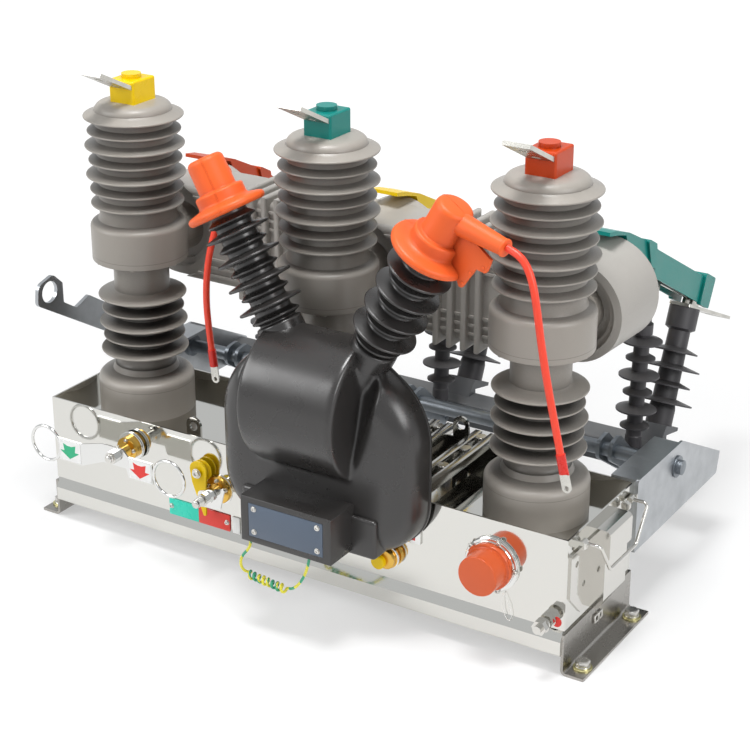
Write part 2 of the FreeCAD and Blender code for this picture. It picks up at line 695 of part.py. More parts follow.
# Sensor block: three barrels along Y joined by ribbed webs, moulded in one piece
def make_sensor_block():
    reach = "Sizes.phase_pitch"
    web = box("Web", "-" + reach, reach, "Sizes.web_front_y", "Sizes.web_rear_y",
              "Sizes.web_bottom_z", "Sizes.web_top_z")
    pieces = [rounded("WebSoft", web, "8", lambda edge: abs(edge.BoundBox.XLength) > 1)]
    for side in (-1, 1):
        for spot in (-1.5, -0.5, 0.5, 1.5):
            middle = "%d * Sizes.phase_pitch / 2 + (%s) * Sizes.rib_pitch" % (side, spot)
            name = "Rib%d%d" % (side + 1, spot * 2 + 3)
            rib = box(name, middle + " - Sizes.rib_wide / 2", middle + " + Sizes.rib_wide / 2",
                      "Sizes.web_front_y - Sizes.rib_proud", "Sizes.web_rear_y + 6",
                      "Sizes.web_bottom_z - Sizes.rib_proud", "Sizes.web_top_z + Sizes.rib_proud")
            pieces.append(rounded(name + "Soft", rib, "4", lambda edge: edge.BoundBox.XLength < 0.1))
    for step in range(3):
        for name, z in (
            ("High", "Sizes.web_top_z - 14 - %d * Sizes.rail_rib_pitch" % step),
            ("Low", "Sizes.web_bottom_z + 14 + %d * Sizes.rail_rib_pitch" % step),
        ):
            pieces.append(box("RailRib%s%d" % (name, step), "-" + reach, reach,
                              "Sizes.web_front_y - 3", "Sizes.web_front_y + 1",
                              z + " - Sizes.rail_rib / 2", z + " + Sizes.rail_rib / 2"))
    holes = []
    for phase, place_x in PHASES:
        x = "%d * Sizes.phase_pitch" % place_x
        long = "Sizes.barrel_rear_y - Sizes.barrel_front_y"
        pieces.append(cone("Barrel" + phase, "Sizes.barrel_front_r", "Sizes.barrel_rear_r", long,
                           x, "Sizes.barrel_front_y", "Sizes.arm_z", ALONG_Y))
        holes.append(cylinder("BarrelFront" + phase, "Sizes.barrel_front_r + 3",
                              "Sizes.barrel_front_y - Sizes.web_front_y + Sizes.rib_proud + 1",
                              x, "Sizes.web_front_y - Sizes.rib_proud - 1", "Sizes.arm_z", ALONG_Y))
        for step in range(2):
            holes.append(cylinder("BarrelStep%s%d" % (phase, step), "Sizes.recess_r - 10 * %d" % step,
                                  "Sizes.recess_step * %d + 1" % (step + 1),
                                  x, "Sizes.barrel_front_y - 1", "Sizes.arm_z", ALONG_Y))
        holes.append(cylinder("BarrelBore" + phase, "Sizes.arm_r + Sizes.arm_clearance",
                              long + " + 20", x, "Sizes.barrel_front_y - 10", "Sizes.arm_z", ALONG_Y))
    node(cut("SensorBlock", fuse("SensorSolid", pieces), holes), "sensor_block")


# Side plates: folded cheeks that carry the shaft and the rear beam
def make_side_plates():
    front = "Sizes.tank_deep / 2"
    for side, sign in (("left", -1), ("right", 1)):
        body = new_body("SidePlate" + side.title())
        sketch = sketch_on(body, "SideProfile" + side, "YZ_Plane", SIDE_X if sign > 0 else
                           "-(%s + Sizes.side_sheet)" % SIDE_X)
        outline(sketch, [
            (front, "Sizes.side_low_z"),
            ("Sizes.side_rear_y - 9", "Sizes.side_low_z", "4"),
            ("Sizes.side_rear_y", "Sizes.side_rear_z", "4"),
            ("Sizes.side_knee_y", "Sizes.side_top_z", "12"),
            (front, "Sizes.side_top_z", "6"),
        ])
        circle(sketch, "Sizes.shaft_y", "Sizes.shaft_z", "Sizes.shaft_r + Sizes.shaft_clearance")
        pad(body, "SideSheet" + side, sketch, "Sizes.side_sheet")
        near = SIDE_X + " - Sizes.flange_wide" if sign > 0 else "-" + SIDE_X
        far = SIDE_X if sign > 0 else "-(%s - Sizes.flange_wide)" % SIDE_X
        top = outline(sketch_on(body, "SideTopProfile" + side, "XY_Plane", "Sizes.side_top_z"), [
            (near, front),
            (far, front),
            (far, "Sizes.side_knee_y - 8"),
            (near, "Sizes.side_knee_y - 8"),
        ])
        pad(body, "SideTop" + side, top, "Sizes.side_sheet", reverse=True)
        end = outline(sketch_on(body, "SideEndProfile" + side, "XZ_Plane", "-(%s)" % front), [
            (near, "Sizes.side_low_z"),
            (far, "Sizes.side_low_z"),
            (far, "Sizes.side_top_z"),
            (near, "Sizes.side_top_z"),
        ])
        pad(body, "SideEnd" + side, end, "Sizes.side_sheet", reverse=True)
        node(body, "side_plate_" + side)


# Rear beam: channel between the side plates with three tilted seats
def make_rear_beam():
    body = new_body("RearBeam")
    low = "Sizes.beam_top_z - Sizes.beam_high"
    profile = outline(sketch_on(body, "BeamProfile", "YZ_Plane"), [
        ("Sizes.beam_front_y", low),
        ("Sizes.beam_front_y + Sizes.beam_wall", low),
        ("Sizes.beam_front_y + Sizes.beam_wall", "Sizes.beam_top_z - Sizes.beam_wall"),
        ("Sizes.beam_rear_y - Sizes.beam_wall", "Sizes.beam_top_z - Sizes.beam_wall"),
        ("Sizes.beam_rear_y - Sizes.beam_wall", low),
        ("Sizes.beam_rear_y", low),
        ("Sizes.beam_rear_y", "Sizes.beam_top_z", "4"),
        ("Sizes.beam_front_y", "Sizes.beam_top_z", "4"),
    ])
    pad(body, "BeamChannel", profile, SIDE_X + " * 2", both_ways=True)
    fall = "tan(Sizes.post_lean)"
    seat_z = "Sizes.post_foot_z - (%s) * %s"
    for phase, place_x in PHASES:
        sketch = sketch_on(body, "SeatProfile" + phase, "YZ_Plane",
                           "%d * Sizes.phase_pitch - 24" % place_x)
        outline(sketch, [
            ("Sizes.post_y - 46", "Sizes.beam_top_z - 1"),
            ("Sizes.beam_rear_y - 1", "Sizes.beam_top_z - 1"),
            ("Sizes.beam_rear_y - 1", "Sizes.beam_top_z + 6"),
            ("Sizes.post_y + 22", seat_z % ("22", fall) + " - 6"),
            ("Sizes.post_y + 24", seat_z % ("24", fall)),
            ("Sizes.post_y - 24", seat_z % ("-24", fall)),
        ])
        pad(body, "Seat" + phase, sketch, "48")
    node(body, "rear_beam")


# Support insulators: leaning posts with large and small sheds
def make_post(phase, place_x):
    name = "Post" + phase.upper()
    body = turned(name, [
        ("0", "0"),
        ("Sizes.post_end_r - 3", "0"),
        ("Sizes.post_end_r - 3", "Sizes.post_shed_first - 8"),
        ("Sizes.post_r + 2", "Sizes.post_shed_first"),
        ("Sizes.post_r", "Sizes.post_long - Sizes.post_end"),
        ("Sizes.post_end_r", "Sizes.post_long - Sizes.post_end + 4"),
        ("Sizes.post_end_r", "Sizes.post_long"),
        ("0", "Sizes.post_long"),
    ])
    shed_row(body, name + "Big", "Sizes.post_r", "Sizes.post_big_r", "Sizes.post_shed_first",
             "Sizes.post_shed_pitch * 2", 3)
    shed_row(body, name + "Small", "Sizes.post_r", "Sizes.post_small_r",
             "Sizes.post_shed_first + Sizes.post_shed_pitch", "Sizes.post_shed_pitch * 2", 2)
    place(body, "%d * Sizes.phase_pitch" % place_x, "Sizes.post_y", "Sizes.post_foot_z")
    tilt(body, Vector(-1, 0, 0), "Sizes.post_lean")
    node(body, "support_insulator_" + phase)


# Rear terminals: tinned bar on each post with two cheeks for the blade's hinge
def make_rear_terminal(phase, place_x):
    name = "RearTerminal" + phase.upper()
    x = "%d * Sizes.phase_pitch" % place_x
    body = new_body(name)
    half = "Sizes.terminal_wide / 2"
    front = "-Sizes.post_end_r - 2"
    plan = outline(sketch_on(body, name + "Plan", "XY_Plane", "Sizes.post_long"), [
        ("-" + half, front, "4"),
        (half, front, "4"),
        (half, "Sizes.terminal_reach", "4"),
        ("-" + half, "Sizes.terminal_reach", "4"),
    ])
    circle(plan, "0", "Sizes.terminal_reach - 20", "Sizes.bar_hole / 2")
    circle(plan, "0", "Sizes.terminal_reach - 60", "Sizes.bar_hole / 2")
    pad(body, name + "Bar", plan, "Sizes.terminal_thick")
    run = "(Sizes.hinge_y - Sizes.post_y)"
    rise = "(Sizes.hinge_z - Sizes.post_foot_z)"
    lean = "Sizes.post_lean"
    pin_y = "%s * cos(%s) - %s * sin(%s)" % (run, lean, rise, lean)
    pin_z = "%s * sin(%s) + %s * cos(%s)" % (run, lean, rise, lean)
    seat = "Sizes.post_long + Sizes.terminal_thick - 0.5"
    for side, gap in ((-1, "-(Sizes.blade_thick / 2 + Sizes.blade_play + 5)"),
                      (1, "Sizes.blade_thick / 2 + Sizes.blade_play")):
        cheek = outline(sketch_on(body, name + "Cheek%d" % (side + 1), "YZ_Plane", gap), [
            (pin_y + " - 16", seat),
            (pin_y + " + 16", seat),
            (pin_y + " + 11", pin_z + " + 11", "9"),
            (pin_y + " - 11", pin_z + " + 11", "9"),
        ])
        pad(body, name + "CheekPad%d" % (side + 1), cheek, "5")
    pin = circle(sketch_on(body, name + "PinProfile", "YZ_Plane"), pin_y, pin_z, "Sizes.hinge_pin_r")
    pad(body, name + "Pin", pin, "Sizes.blade_thick + Sizes.blade_play * 2 + 14", both_ways=True)
    place(body, x, "Sizes.post_y", "Sizes.post_foot_z")
    tilt(body, Vector(-1, 0, 0), "Sizes.post_lean")
    node(body, "rear_terminal_" + phase)


# Disconnector shaft: tube with three forked cranks, collars and crank pins
def make_shaft():
    pieces = [
        cylinder("ShaftTube", "Sizes.shaft_r", SIDE_X + " * 2 + Sizes.shaft_left + Sizes.shaft_right",
                 "-%s - Sizes.shaft_left" % SIDE_X, "Sizes.shaft_y", "Sizes.shaft_z", ALONG_X),
        cylinder("ShaftWasher", "16.5", "2.5", SIDE_X + " + Sizes.side_sheet + 0.3",
                 "Sizes.shaft_y", "Sizes.shaft_z", ALONG_X),
    ]
    for side in (-1, 1):
        pieces.append(cylinder("ShaftCollar%d" % (side + 1), "18", "8",
                               "%d * (%s - 12) - 4" % (side, SIDE_X), "Sizes.shaft_y",
                               "Sizes.shaft_z", ALONG_X))
    for phase, place_x in PHASES:
        x = "%d * Sizes.phase_pitch" % place_x
        for side in (-1, 1):
            name = "Crank%s%d" % (phase, side + 1)
            body = new_body(name)
            start = (x + " + Sizes.crank_gap / 2") if side > 0 else \
                (x + " - Sizes.crank_gap / 2 - Sizes.crank_thick")
            sketch = sketch_on(body, name + "Profile", "YZ_Plane", start)
            outline(sketch, [
                ("Sizes.shaft_y - 20", "Sizes.shaft_z - 8", "14"),
                ("Sizes.crank_pin_y - 4", "Sizes.crank_pin_z - 14", "9"),
                ("Sizes.crank_pin_y + 13", "Sizes.crank_pin_z + 2", "9"),
                ("Sizes.shaft_y + 12", "Sizes.shaft_z + 22", "14"),
                ("Sizes.shaft_y - 16", "Sizes.shaft_z + 18", "12"),
            ])
            pad(body, name + "Plate", sketch, "Sizes.crank_thick")
            pieces.append(body)
        pieces.append(cylinder("CrankPin" + phase, "Sizes.pin_r",
                               "Sizes.crank_gap + Sizes.crank_thick * 2 + 6",
                               x + " - Sizes.crank_gap / 2 - Sizes.crank_thick - 3",
                               "Sizes.crank_pin_y", "Sizes.crank_pin_z", ALONG_X))
    node(fuse("IsolatorShaft", pieces), "isolator_shaft")


# Operating lever: flat hooked lever on the shaft's left end with a pulling ring
def make_operating_lever():
    body = new_body("OperatingLever")
    sketch = sketch_on(body, "LeverProfile", "YZ_Plane", "-%s - Sizes.lever_out" % SIDE_X)
    outline(sketch, [
        ("Sizes.shaft_y + 22", "Sizes.shaft_z - 2", "12"),
        ("Sizes.shaft_y + 16", "Sizes.shaft_z + 26", "12"),
        ("46", "309"),
        ("9", "333", "6"),
        ("-22", "322", "5"),
        ("-50", "340", "4"),
        ("-50", "372", "3"),
        ("-70", "391", "10"),
        ("-104", "382", "14"),
        ("-108", "352", "10"),
        ("41", "262", "10"),
        ("Sizes.shaft_y - 20", "Sizes.shaft_z - 20", "14"),
        ("Sizes.shaft_y + 12", "Sizes.shaft_z - 24", "12"),
    ])
    circle(sketch, "-80", "366", "17")
    circle(sketch, "Sizes.shaft_y", "Sizes.shaft_z", "Sizes.shaft_r")
    pad(body, "LeverPlate", sketch, "Sizes.lever_thick", reverse=False)
    node(body, "operating_lever")


# Pull rods: shedded insulators from crank pin to blade, with a fork at the top
def make_pull_rod(phase, place_x):
    name = "PullRod" + phase.upper()
    long = "sqrt((Sizes.rod_pin_y - Sizes.crank_pin_y) ^ 2 + (Sizes.rod_pin_z - Sizes.crank_pin_z) ^ 2)"
    body = turned(name, [
        ("0", "30"),
        ("Sizes.rod_r + 1", "30"),
        ("Sizes.rod_r + 1", "48"),
        ("Sizes.rod_r", "50"),
        ("Sizes.rod_r", "Sizes.rod_core - 18"),
        ("Sizes.rod_r + 3", "Sizes.rod_core - 16"),
        ("Sizes.rod_r + 3", "Sizes.rod_core"),
        ("0", "Sizes.rod_core"),
    ])
    shed_row(body, name + "Small", "Sizes.rod_r", "Sizes.rod_small_r", "Sizes.rod_shed_first",
             "Sizes.rod_shed_pitch * 2", 3)
    shed_row(body, name + "Big", "Sizes.rod_r", "Sizes.rod_big_r",
             "Sizes.rod_shed_first + Sizes.rod_shed_pitch", "Sizes.rod_shed_pitch * 2", 3)
    eye = sketch_on(body, name + "EyeProfile", "YZ_Plane")
    outline(eye, [("-10", "-10", "8"), ("10", "-10", "8"), ("10", "31"), ("-10", "31")])
    circle(eye, "0", "0", "Sizes.pin_r + Sizes.pin_clearance")
    pad(body, name + "Eye", eye, "Sizes.crank_gap - 1", both_ways=True)
    for side, gap in ((-1, "-(Sizes.blade_thick / 2 + 1 + 5)"), (1, "Sizes.blade_thick / 2 + 1")):
        cheek = outline(sketch_on(body, name + "Fork%d" % (side + 1), "YZ_Plane", gap), [
            ("-9", "Sizes.rod_core - 1"),
            ("9", "Sizes.rod_core - 1"),
            ("9", long + " + 9", "7"),
            ("-9", long + " + 9", "7"),
        ])
        pad(body, name + "ForkPad%d" % (side + 1), cheek, "5")
    pin = circle(sketch_on(body, name + "PinProfile", "YZ_Plane"), "0", long, "Sizes.pin_r")
    pad(body, name + "Pin", pin, "Sizes.blade_thick + 2 + 14", both_ways=True)
    place(body, "%d * Sizes.phase_pitch" % place_x, "Sizes.crank_pin_y", "Sizes.crank_pin_z")
    tilt(body, Vector(-1, 0, 0),
         "atan((Sizes.rod_pin_y - Sizes.crank_pin_y) / (Sizes.rod_pin_z - Sizes.crank_pin_z))")
    node(body, "pull_rod_" + phase)


# Blades: copper bars hinged on the rear terminals; the lug below takes the pull rod's pin in a slot
def make_blade(phase, place_x):
    name = "Blade" + phase.upper()
    body = new_body(name)
    half = "Sizes.blade_deep / 2"
    run = "(Sizes.hinge_y - Sizes.rod_pin_y)"
    rise = "(Sizes.rod_pin_z - Sizes.hinge_z)"
    slope = "Sizes.blade_slope"
    pin_u = "%s * cos(%s) + %s * sin(%s)" % (run, slope, rise, slope)
    pin_v = "%s * cos(%s) - %s * sin(%s)" % (rise, slope, run, slope)
    sketch = sketch_on(body, name + "Profile", "YZ_Plane")
    outline(sketch, [
        ("11", half, "8"),
        ("11", "-" + half, "8"),
        ("-(%s - 34)" % pin_u, "-" + half),
        ("-(%s - 34)" % pin_u, pin_v + " - 19", "6"),
        ("-(%s + 12)" % pin_u, pin_v + " - 19", "6"),
        ("-(%s + 24)" % pin_u, "-" + half),
        ("-Sizes.blade_reach", "-" + half, "8"),
        ("-Sizes.blade_reach", half, "8"),
    ])
    circle(sketch, "0", "0", "Sizes.hinge_pin_r + Sizes.pin_clearance")
    pad(body, name + "Bar", sketch, "Sizes.blade_thick", both_ways=True)
    slot = outline(sketch_on(body, name + "SlotProfile", "YZ_Plane"), [
        ("-(%s + 6)" % pin_u, pin_v + " - 12", "4"),
        ("-(%s - 26)" % pin_u, pin_v + " - 12", "4"),
        ("-(%s - 26)" % pin_u, pin_v + " + 10", "4"),
        ("-(%s + 6)" % pin_u, pin_v + " + 10", "4"),
    ])
    pocket(body, name + "Slot", slot, "Sizes.blade_thick + 2", both_ways=True)
    place(body, "%d * Sizes.phase_pitch" % place_x, "Sizes.hinge_y", "Sizes.hinge_z")
    tilt(body, Vector(-1, 0, 0), "Sizes.blade_slope")
    node(body, "blade_" + phase)


# Blade covers: coloured troughs over the blades with a hood over the fixed contact
def make_blade_cover(phase, place_x):
    name = "BladeCover" + phase.upper()
    body = new_body(name)
    tip = "-Sizes.blade_reach"
    start = tip + " + Sizes.hood_start"
    crown = tip + " + Sizes.hood_crown"
    top = "Sizes.cover_high"
    outer = outline(sketch_on(body, name + "Profile", "YZ_Plane"), [
        ("8", "-17"),
        ("8", top, "6"),
        (start, top),
        (crown, top + " + 3"),
        (tip + " - Sizes.hood_nose", top + " + 0.5", "20"),
        (tip + " - Sizes.hood_lip", top + " - 7"),
        (tip + " - Sizes.hood_tip", top + " - 14"),
        (tip + " - Sizes.hood_tip + 2", top + " - 19"),
        (tip + " - Sizes.hood_lip + 10", top + " - 11"),
        (tip + " - Sizes.hood_nose - 9", top + " - 5.5"),
        (tip + " - Sizes.hood_nose + 7", top + " - 19"),
        (tip + " - 20", "-12", "6"),
        (crown, "-14"),
    ])
    pad(body, name + "Shell", outer, "Sizes.trough_wide", both_ways=True)
    for label, low0, low1, high0, high1, deep in (
        ("Shoulder", start + " - 24", start + " + 4", crown, start + " - 24", "-4"),
        ("Heel", "-28", "12", "-31", "12", "-19"),
    ):
        collar = outline(sketch_on(body, name + label, "YZ_Plane"), [
            (low0, deep, "4"),
            (low1, deep, "4"),
            (high1, top + " + 6", "4"),
            (high0, top + " + 6", "4"),
        ])
        pad(body, name + label + "Pad", collar, "Sizes.trough_wide + Sizes.collar_proud * 2", both_ways=True)
    inner = outline(sketch_on(body, name + "Hollow", "YZ_Plane"), [
        ("20", "-22"),
        ("20", "Sizes.blade_deep / 2"),
        (start, "Sizes.blade_deep / 2"),
        (start + " - 6", top + " - 5"),
        (crown, top + " - 3"),
        (tip + " - 16", top + " - 9"),
        (tip + " - 16", "-22"),
    ])
    pocket(body, name + "Inside", inner, "Sizes.trough_wide - Sizes.trough_wall * 2", both_ways=True)
    place(body, "%d * Sizes.phase_pitch" % place_x, "Sizes.hinge_y", "Sizes.hinge_z")
    tilt(body, Vector(-1, 0, 0), "Sizes.blade_slope")
    node(body, "blade_cover_" + phase)


# Fixed contacts: jaws on the rear ends of the pole arms
def make_contact(phase, place_x):
    name = "Contact" + phase.upper()
    x = "%d * Sizes.phase_pitch" % place_x
    body = new_body(name)
    foot = outline(sketch_on(body, name + "FootProfile", "XZ_Plane", "-Sizes.arm_end_y"), [
        ("-20", "Sizes.arm_z - 22", "4"), ("20", "Sizes.arm_z - 22", "4"),
        ("20", "Sizes.arm_z + 34", "4"), ("-20", "Sizes.arm_z + 34", "4"),
    ])
    pad(body, name + "Foot", foot, "6", reverse=True)
    for side, gap in ((-1, "-(Sizes.blade_thick / 2 + Sizes.blade_play + 5)"),
                      (1, "Sizes.blade_thick / 2 + Sizes.blade_play")):
        jaw = outline(sketch_on(body, name + "Jaw%d" % (side + 1), "YZ_Plane", gap), [
            ("Sizes.arm_end_y + 4", "Sizes.arm_z - 10"),
            ("Sizes.arm_end_y + 22", "Sizes.arm_z - 10", "4"),
            ("Sizes.arm_end_y + 46", "Sizes.arm_z + 30", "6"),
            ("Sizes.arm_end_y + 38", "Sizes.arm_z + 52", "6"),
            ("Sizes.arm_end_y + 16", "Sizes.arm_z + 52", "6"),
            ("Sizes.arm_end_y + 4", "Sizes.arm_z + 30"),
        ])
        pad(body, name + "JawPad%d" % (side + 1), jaw, "5")
    place(body, x, "0", "0")
    node(body, "fixed_contact_" + phase)


# Transformer: one black casting with a drum over its winding, two leaning bushings and a terminal box
def make_transformer():
    centre = "Sizes.trans_x"
    depth = "Sizes.trans_back_y - Sizes.trans_front_y"
    slab = new_body("TransformerSlab")
    half = [
        ("Sizes.cast_half", "Sizes.cast_low_z", "Sizes.cast_corner"),
        ("Sizes.cast_half", "Sizes.cast_shoulder_z", "Sizes.cast_shoulder"),
        ("Sizes.cast_ridge_half", "Sizes.cast_ridge_z", "60"),
    ]
    corners = [("%s + %s" % (centre, across), up, soft) for across, up, soft in half]
    corners += [("%s - %s" % (centre, across), up, soft) for across, up, soft in reversed(half)]
    sketch = outline(sketch_on(slab, "SlabProfile", "XZ_Plane", "-Sizes.trans_back_y"), corners)
    pad(slab, "SlabPad", sketch, depth)
    front = amount("Sizes.trans_front_y")
    soft_slab = rounded("SlabSoft", slab, "Sizes.cast_soft",
                        lambda edge: edge.BoundBox.YMax < front + 0.1)
    scoops = [
        cylinder("LobeScoop%d" % (side + 1), "Sizes.scoop_r", "290", centre + " + %d * Sizes.scoop_from" % side,
                 "Sizes.trans_front_y - 14", "Sizes.cast_low_z + 25")
        for side in (-1, 1)
    ]
    lobes = cut("SlabLobes", soft_slab, scoops)
    drum_x = centre + " - Sizes.winding_off - Sizes.winding_long / 2"
    drum = cylinder("Drum", "Sizes.winding_r", "Sizes.winding_long", drum_x, "Sizes.winding_y",
                    "Sizes.winding_z", ALONG_X)
    soft_drum = rounded("DrumSoft", drum, "16", lambda edge: edge.BoundBox.XLength < 0.1)
    cut_y = amount("Sizes.trans_back_y")
    behind = box("DrumBehind", centre + " - 200", centre + " + 200", "Sizes.trans_back_y",
                 "Sizes.trans_back_y + 200", "0", "600")
    pieces = [lobes, cut("DrumFront", soft_drum, [behind])]
    block = box("TerminalBox", centre + " - Sizes.box_wide / 2", centre + " + Sizes.box_wide / 2",
                "Sizes.box_front_y", "Sizes.trans_back_y - 20", "Sizes.box_low_z", "Sizes.box_top_z")
    box_face = amount("Sizes.box_front_y")
    pieces.append(rounded("TerminalBoxSoft", block, "6", lambda edge: edge.BoundBox.YMin < box_face + 1))
    step = box("TerminalStep", centre + " - 110", centre + " + 112", "Sizes.trans_front_y - 7",
               "Sizes.trans_back_y - 6", "132", "191")
    pieces.append(rounded("TerminalStepSoft", step, "6", lambda edge: edge.BoundBox.YMin < front))
    for side, name in ((-1, "Left"), (1, "Right")):
        body = turned("Bushing" + name, [
            ("0", "56"),
            ("60", "56"),
            ("Sizes.bushing_root_r + 16", "104", "20"),
            ("Sizes.bushing_root_r", "Sizes.bushing_root"),
            ("Sizes.bushing_root_r", "Sizes.bushing_shed - 6", "4"),
            ("Sizes.bushing_r", "Sizes.bushing_shed - 4"),
            ("Sizes.bushing_r", "Sizes.bushing_long"),
            ("0", "Sizes.bushing_long"),
        ])
        pitch = "(Sizes.bushing_long - Sizes.bushing_shed) / 8.6"
        shed_row(body, "Bushing%sSmall" % name, "Sizes.bushing_r", "Sizes.bushing_small_r",
                 "Sizes.bushing_shed", pitch + " * 2", 5)
        shed_row(body, "Bushing%sBig" % name, "Sizes.bushing_r", "Sizes.bushing_big_r",
                 "Sizes.bushing_shed + " + pitch, pitch + " * 2", 4)
        place(body, centre, "Sizes.bushing_y", "Sizes.bushing_z")
        tilt(body, Vector(0, side, 0), "Sizes.bushing_lean")
        pieces.append(body)
    recess = box("PlateRecess", centre + " - 61", centre + " + 61", "Sizes.box_front_y - 1",
                 "Sizes.box_front_y + 2", "Sizes.box_low_z + 9", "Sizes.box_top_z - 9")
    root = box("RootBehind", centre + " - 200", centre + " + 200", "Sizes.trans_back_y",
               "Sizes.trans_back_y + 200", "0", "Sizes.bushing_z + 128")
    node(cut("TransformerBody", fuse("TransformerCast", pieces), [recess, root]), "transformer_body")
    plate = box("BoxPlate", centre + " - 60.8", centre + " + 60.8", "Sizes.box_front_y + 0.2",
                "Sizes.box_front_y + 2", "Sizes.box_low_z + 9.2", "Sizes.box_top_z - 9.2")
    screws = [plate]
    for side in (-1, 1):
        for z in ("Sizes.box_low_z + 17", "Sizes.box_top_z - 17"):
            screws.append(cylinder("PlateScrew", "3.5", "2.4", centre + " + %d * 52" % side,
                                   "Sizes.box_front_y + 0.4", z, TOWARDS_FRONT))
    node(fuse("BoxPlateScrews", screws), "terminal_plate")


# Rubber caps: brimmed covers on the bushings, each with a side spout for its lead
def make_cap(side, name, azimuth, rise):
    label = "Cap" + name.title()
    body = turned(label, [
        ("0", "Sizes.bushing_long"),
        ("Sizes.cap_brim_r", "Sizes.bushing_long", "4"),
        ("Sizes.cap_brim_r", "Sizes.bushing_long + 9", "4"),
        ("Sizes.cap_ring_r", "Sizes.bushing_long + 17", "3"),
        ("Sizes.cap_ring_r", "Sizes.bushing_long + 34", "5"),
        ("Sizes.cap_r + 1", "Sizes.bushing_long + 35"),
        ("Sizes.cap_r", "Sizes.cap_top", "9"),
        ("0", "Sizes.cap_top"),
    ])
    place(body, "Sizes.trans_x", "Sizes.bushing_y", "Sizes.bushing_z")
    tilt(body, Vector(0, side, 0), "Sizes.bushing_lean")
    web = new_body(label + "Web")
    lip = outline(sketch_on(web, label + "WebProfile", "XZ_Plane"), [
        ("0", "Sizes.bushing_long + 14"),
        ("Sizes.cap_brim_r", "Sizes.bushing_long + 4", "4"),
        ("Sizes.cap_brim_r + 9", "Sizes.bushing_long - 2", "5"),
        ("Sizes.cap_brim_r + 14", "Sizes.bushing_long + 36"),
        ("Sizes.cap_brim_r + 30", "Sizes.bushing_long + 42", "5"),
        ("Sizes.cap_brim_r + 28", "Sizes.spout_from"),
        ("0", "Sizes.spout_from"),
    ])
    pad(web, label + "WebPad", lip, "6", both_ways=True)
    lean = Rotation(Vector(0, side, 0), amount("Sizes.bushing_lean"))
    crossing = Vector(amount("Sizes.trans_x"), amount("Sizes.bushing_y"), amount("Sizes.bushing_z"))
    turn = lean.multiply(Rotation(Vector(0, 0, 1), azimuth))
    web.Placement = FreeCAD.Placement(crossing, turn)
    start = crossing + turn.multVec(Vector(0, 0, amount("Sizes.spout_from")))
    along = turn.multVec(Vector(math.cos(math.radians(rise)), 0, math.sin(math.radians(rise))))
    spout = cone(label + "Cone", "Sizes.spout_r + 5", "Sizes.spout_r", "Sizes.spout_long",
                 start.x, start.y, start.z)
    spout.Placement = FreeCAD.Placement(start, Rotation(Vector(0, 0, 1), along))
    print("%s spout tip %s, along %s" % (name, start + along * amount("Sizes.spout_long"), along))
    node(fuse(label + "Spout", [body, web, spout]), "cap_" + name)


# Routes of the red leads, from a cap's spout to the sleeve of the hanging lug
RIGHT_LEAD = [
    Vector(357, -136, 602.5),
    Vector(373, -139.1, 599.2),
    Vector(388, -142, 587),
    Vector(399, -145, 565),
    Vector(407, -147, 531),
    Vector(414.5, -148, 490),
    Vector(424.5, -148, 442),
    Vector(436, -148, 394),
    Vector(447, -148, 349),
]
LEFT_LEAD = [
    Vector(-148.7, -35.6, 591),
    Vector(-155.4, -20.8, 585.5),
    Vector(-163, -11, 571),
    Vector(-169, -9, 552),
    Vector(-174, -13, 528),
    Vector(-181, -21, 491),
    Vector(-188.5, -28, 450),
    Vector(-193, -30, 400),
    Vector(-191, -30, 352),
    Vector(-186, -30, 312),
]
EARTH_LEFT = [
    Vector(14, -219, 138),
    Vector(13, -219, 128),
    Vector(8, -219, 119),
    Vector(1, -219, 111),
    Vector(-4, -219, 102),
    Vector(-5, -219, 92),
    Vector(0, -219, 84),
    Vector(9, -219, 81),
]
EARTH_RIGHT = [
    Vector(70, -219, 75),
    Vector(82, -219, 79),
    Vector(92, -219, 88),
    Vector(101, -219, 102),
    Vector(108, -219, 119),
    Vector(112, -219, 138),
]


def tube(name, route, radius):
    """Round cord: straight runs joined by tangent arcs, each as large as its two runs allow."""
    edges = []
    start = route[0]
    for before, corner, after in zip(route, route[1:], route[2:]):
        back, ahead = before - corner, after - corner
        turn = math.pi - back.getAngle(ahead)
        reach = 0.45 * min(back.Length, ahead.Length)
        bend = reach / math.tan(turn / 2)
        print("%s bend radius %.0f" % (name, bend))
        first = corner + back.normalize() * reach
        last = corner + ahead.normalize() * reach
        inward = (back + ahead).normalize()
        middle = corner + inward * (math.hypot(bend, reach) - bend)
        edges.append(Part.LineSegment(start, first).toShape())
        edges.append(Part.Arc(first, middle, last).toShape())
        start = last
    edges.append(Part.LineSegment(start, route[-1]).toShape())
    path = Part.Wire(edges)
    along = route[1] - route[0]
    section = Part.Wire([Part.makeCircle(radius, route[0], along)])
    solid = path.makePipeShell([section], True, True)
    print("%s volume ratio %.4f" % (name, solid.Volume / (math.pi * radius ** 2 * path.Length)))
    return solid


def feature(name, shape):
    item = doc.addObject("Part::Feature", name)
    item.Shape = shape
    return item


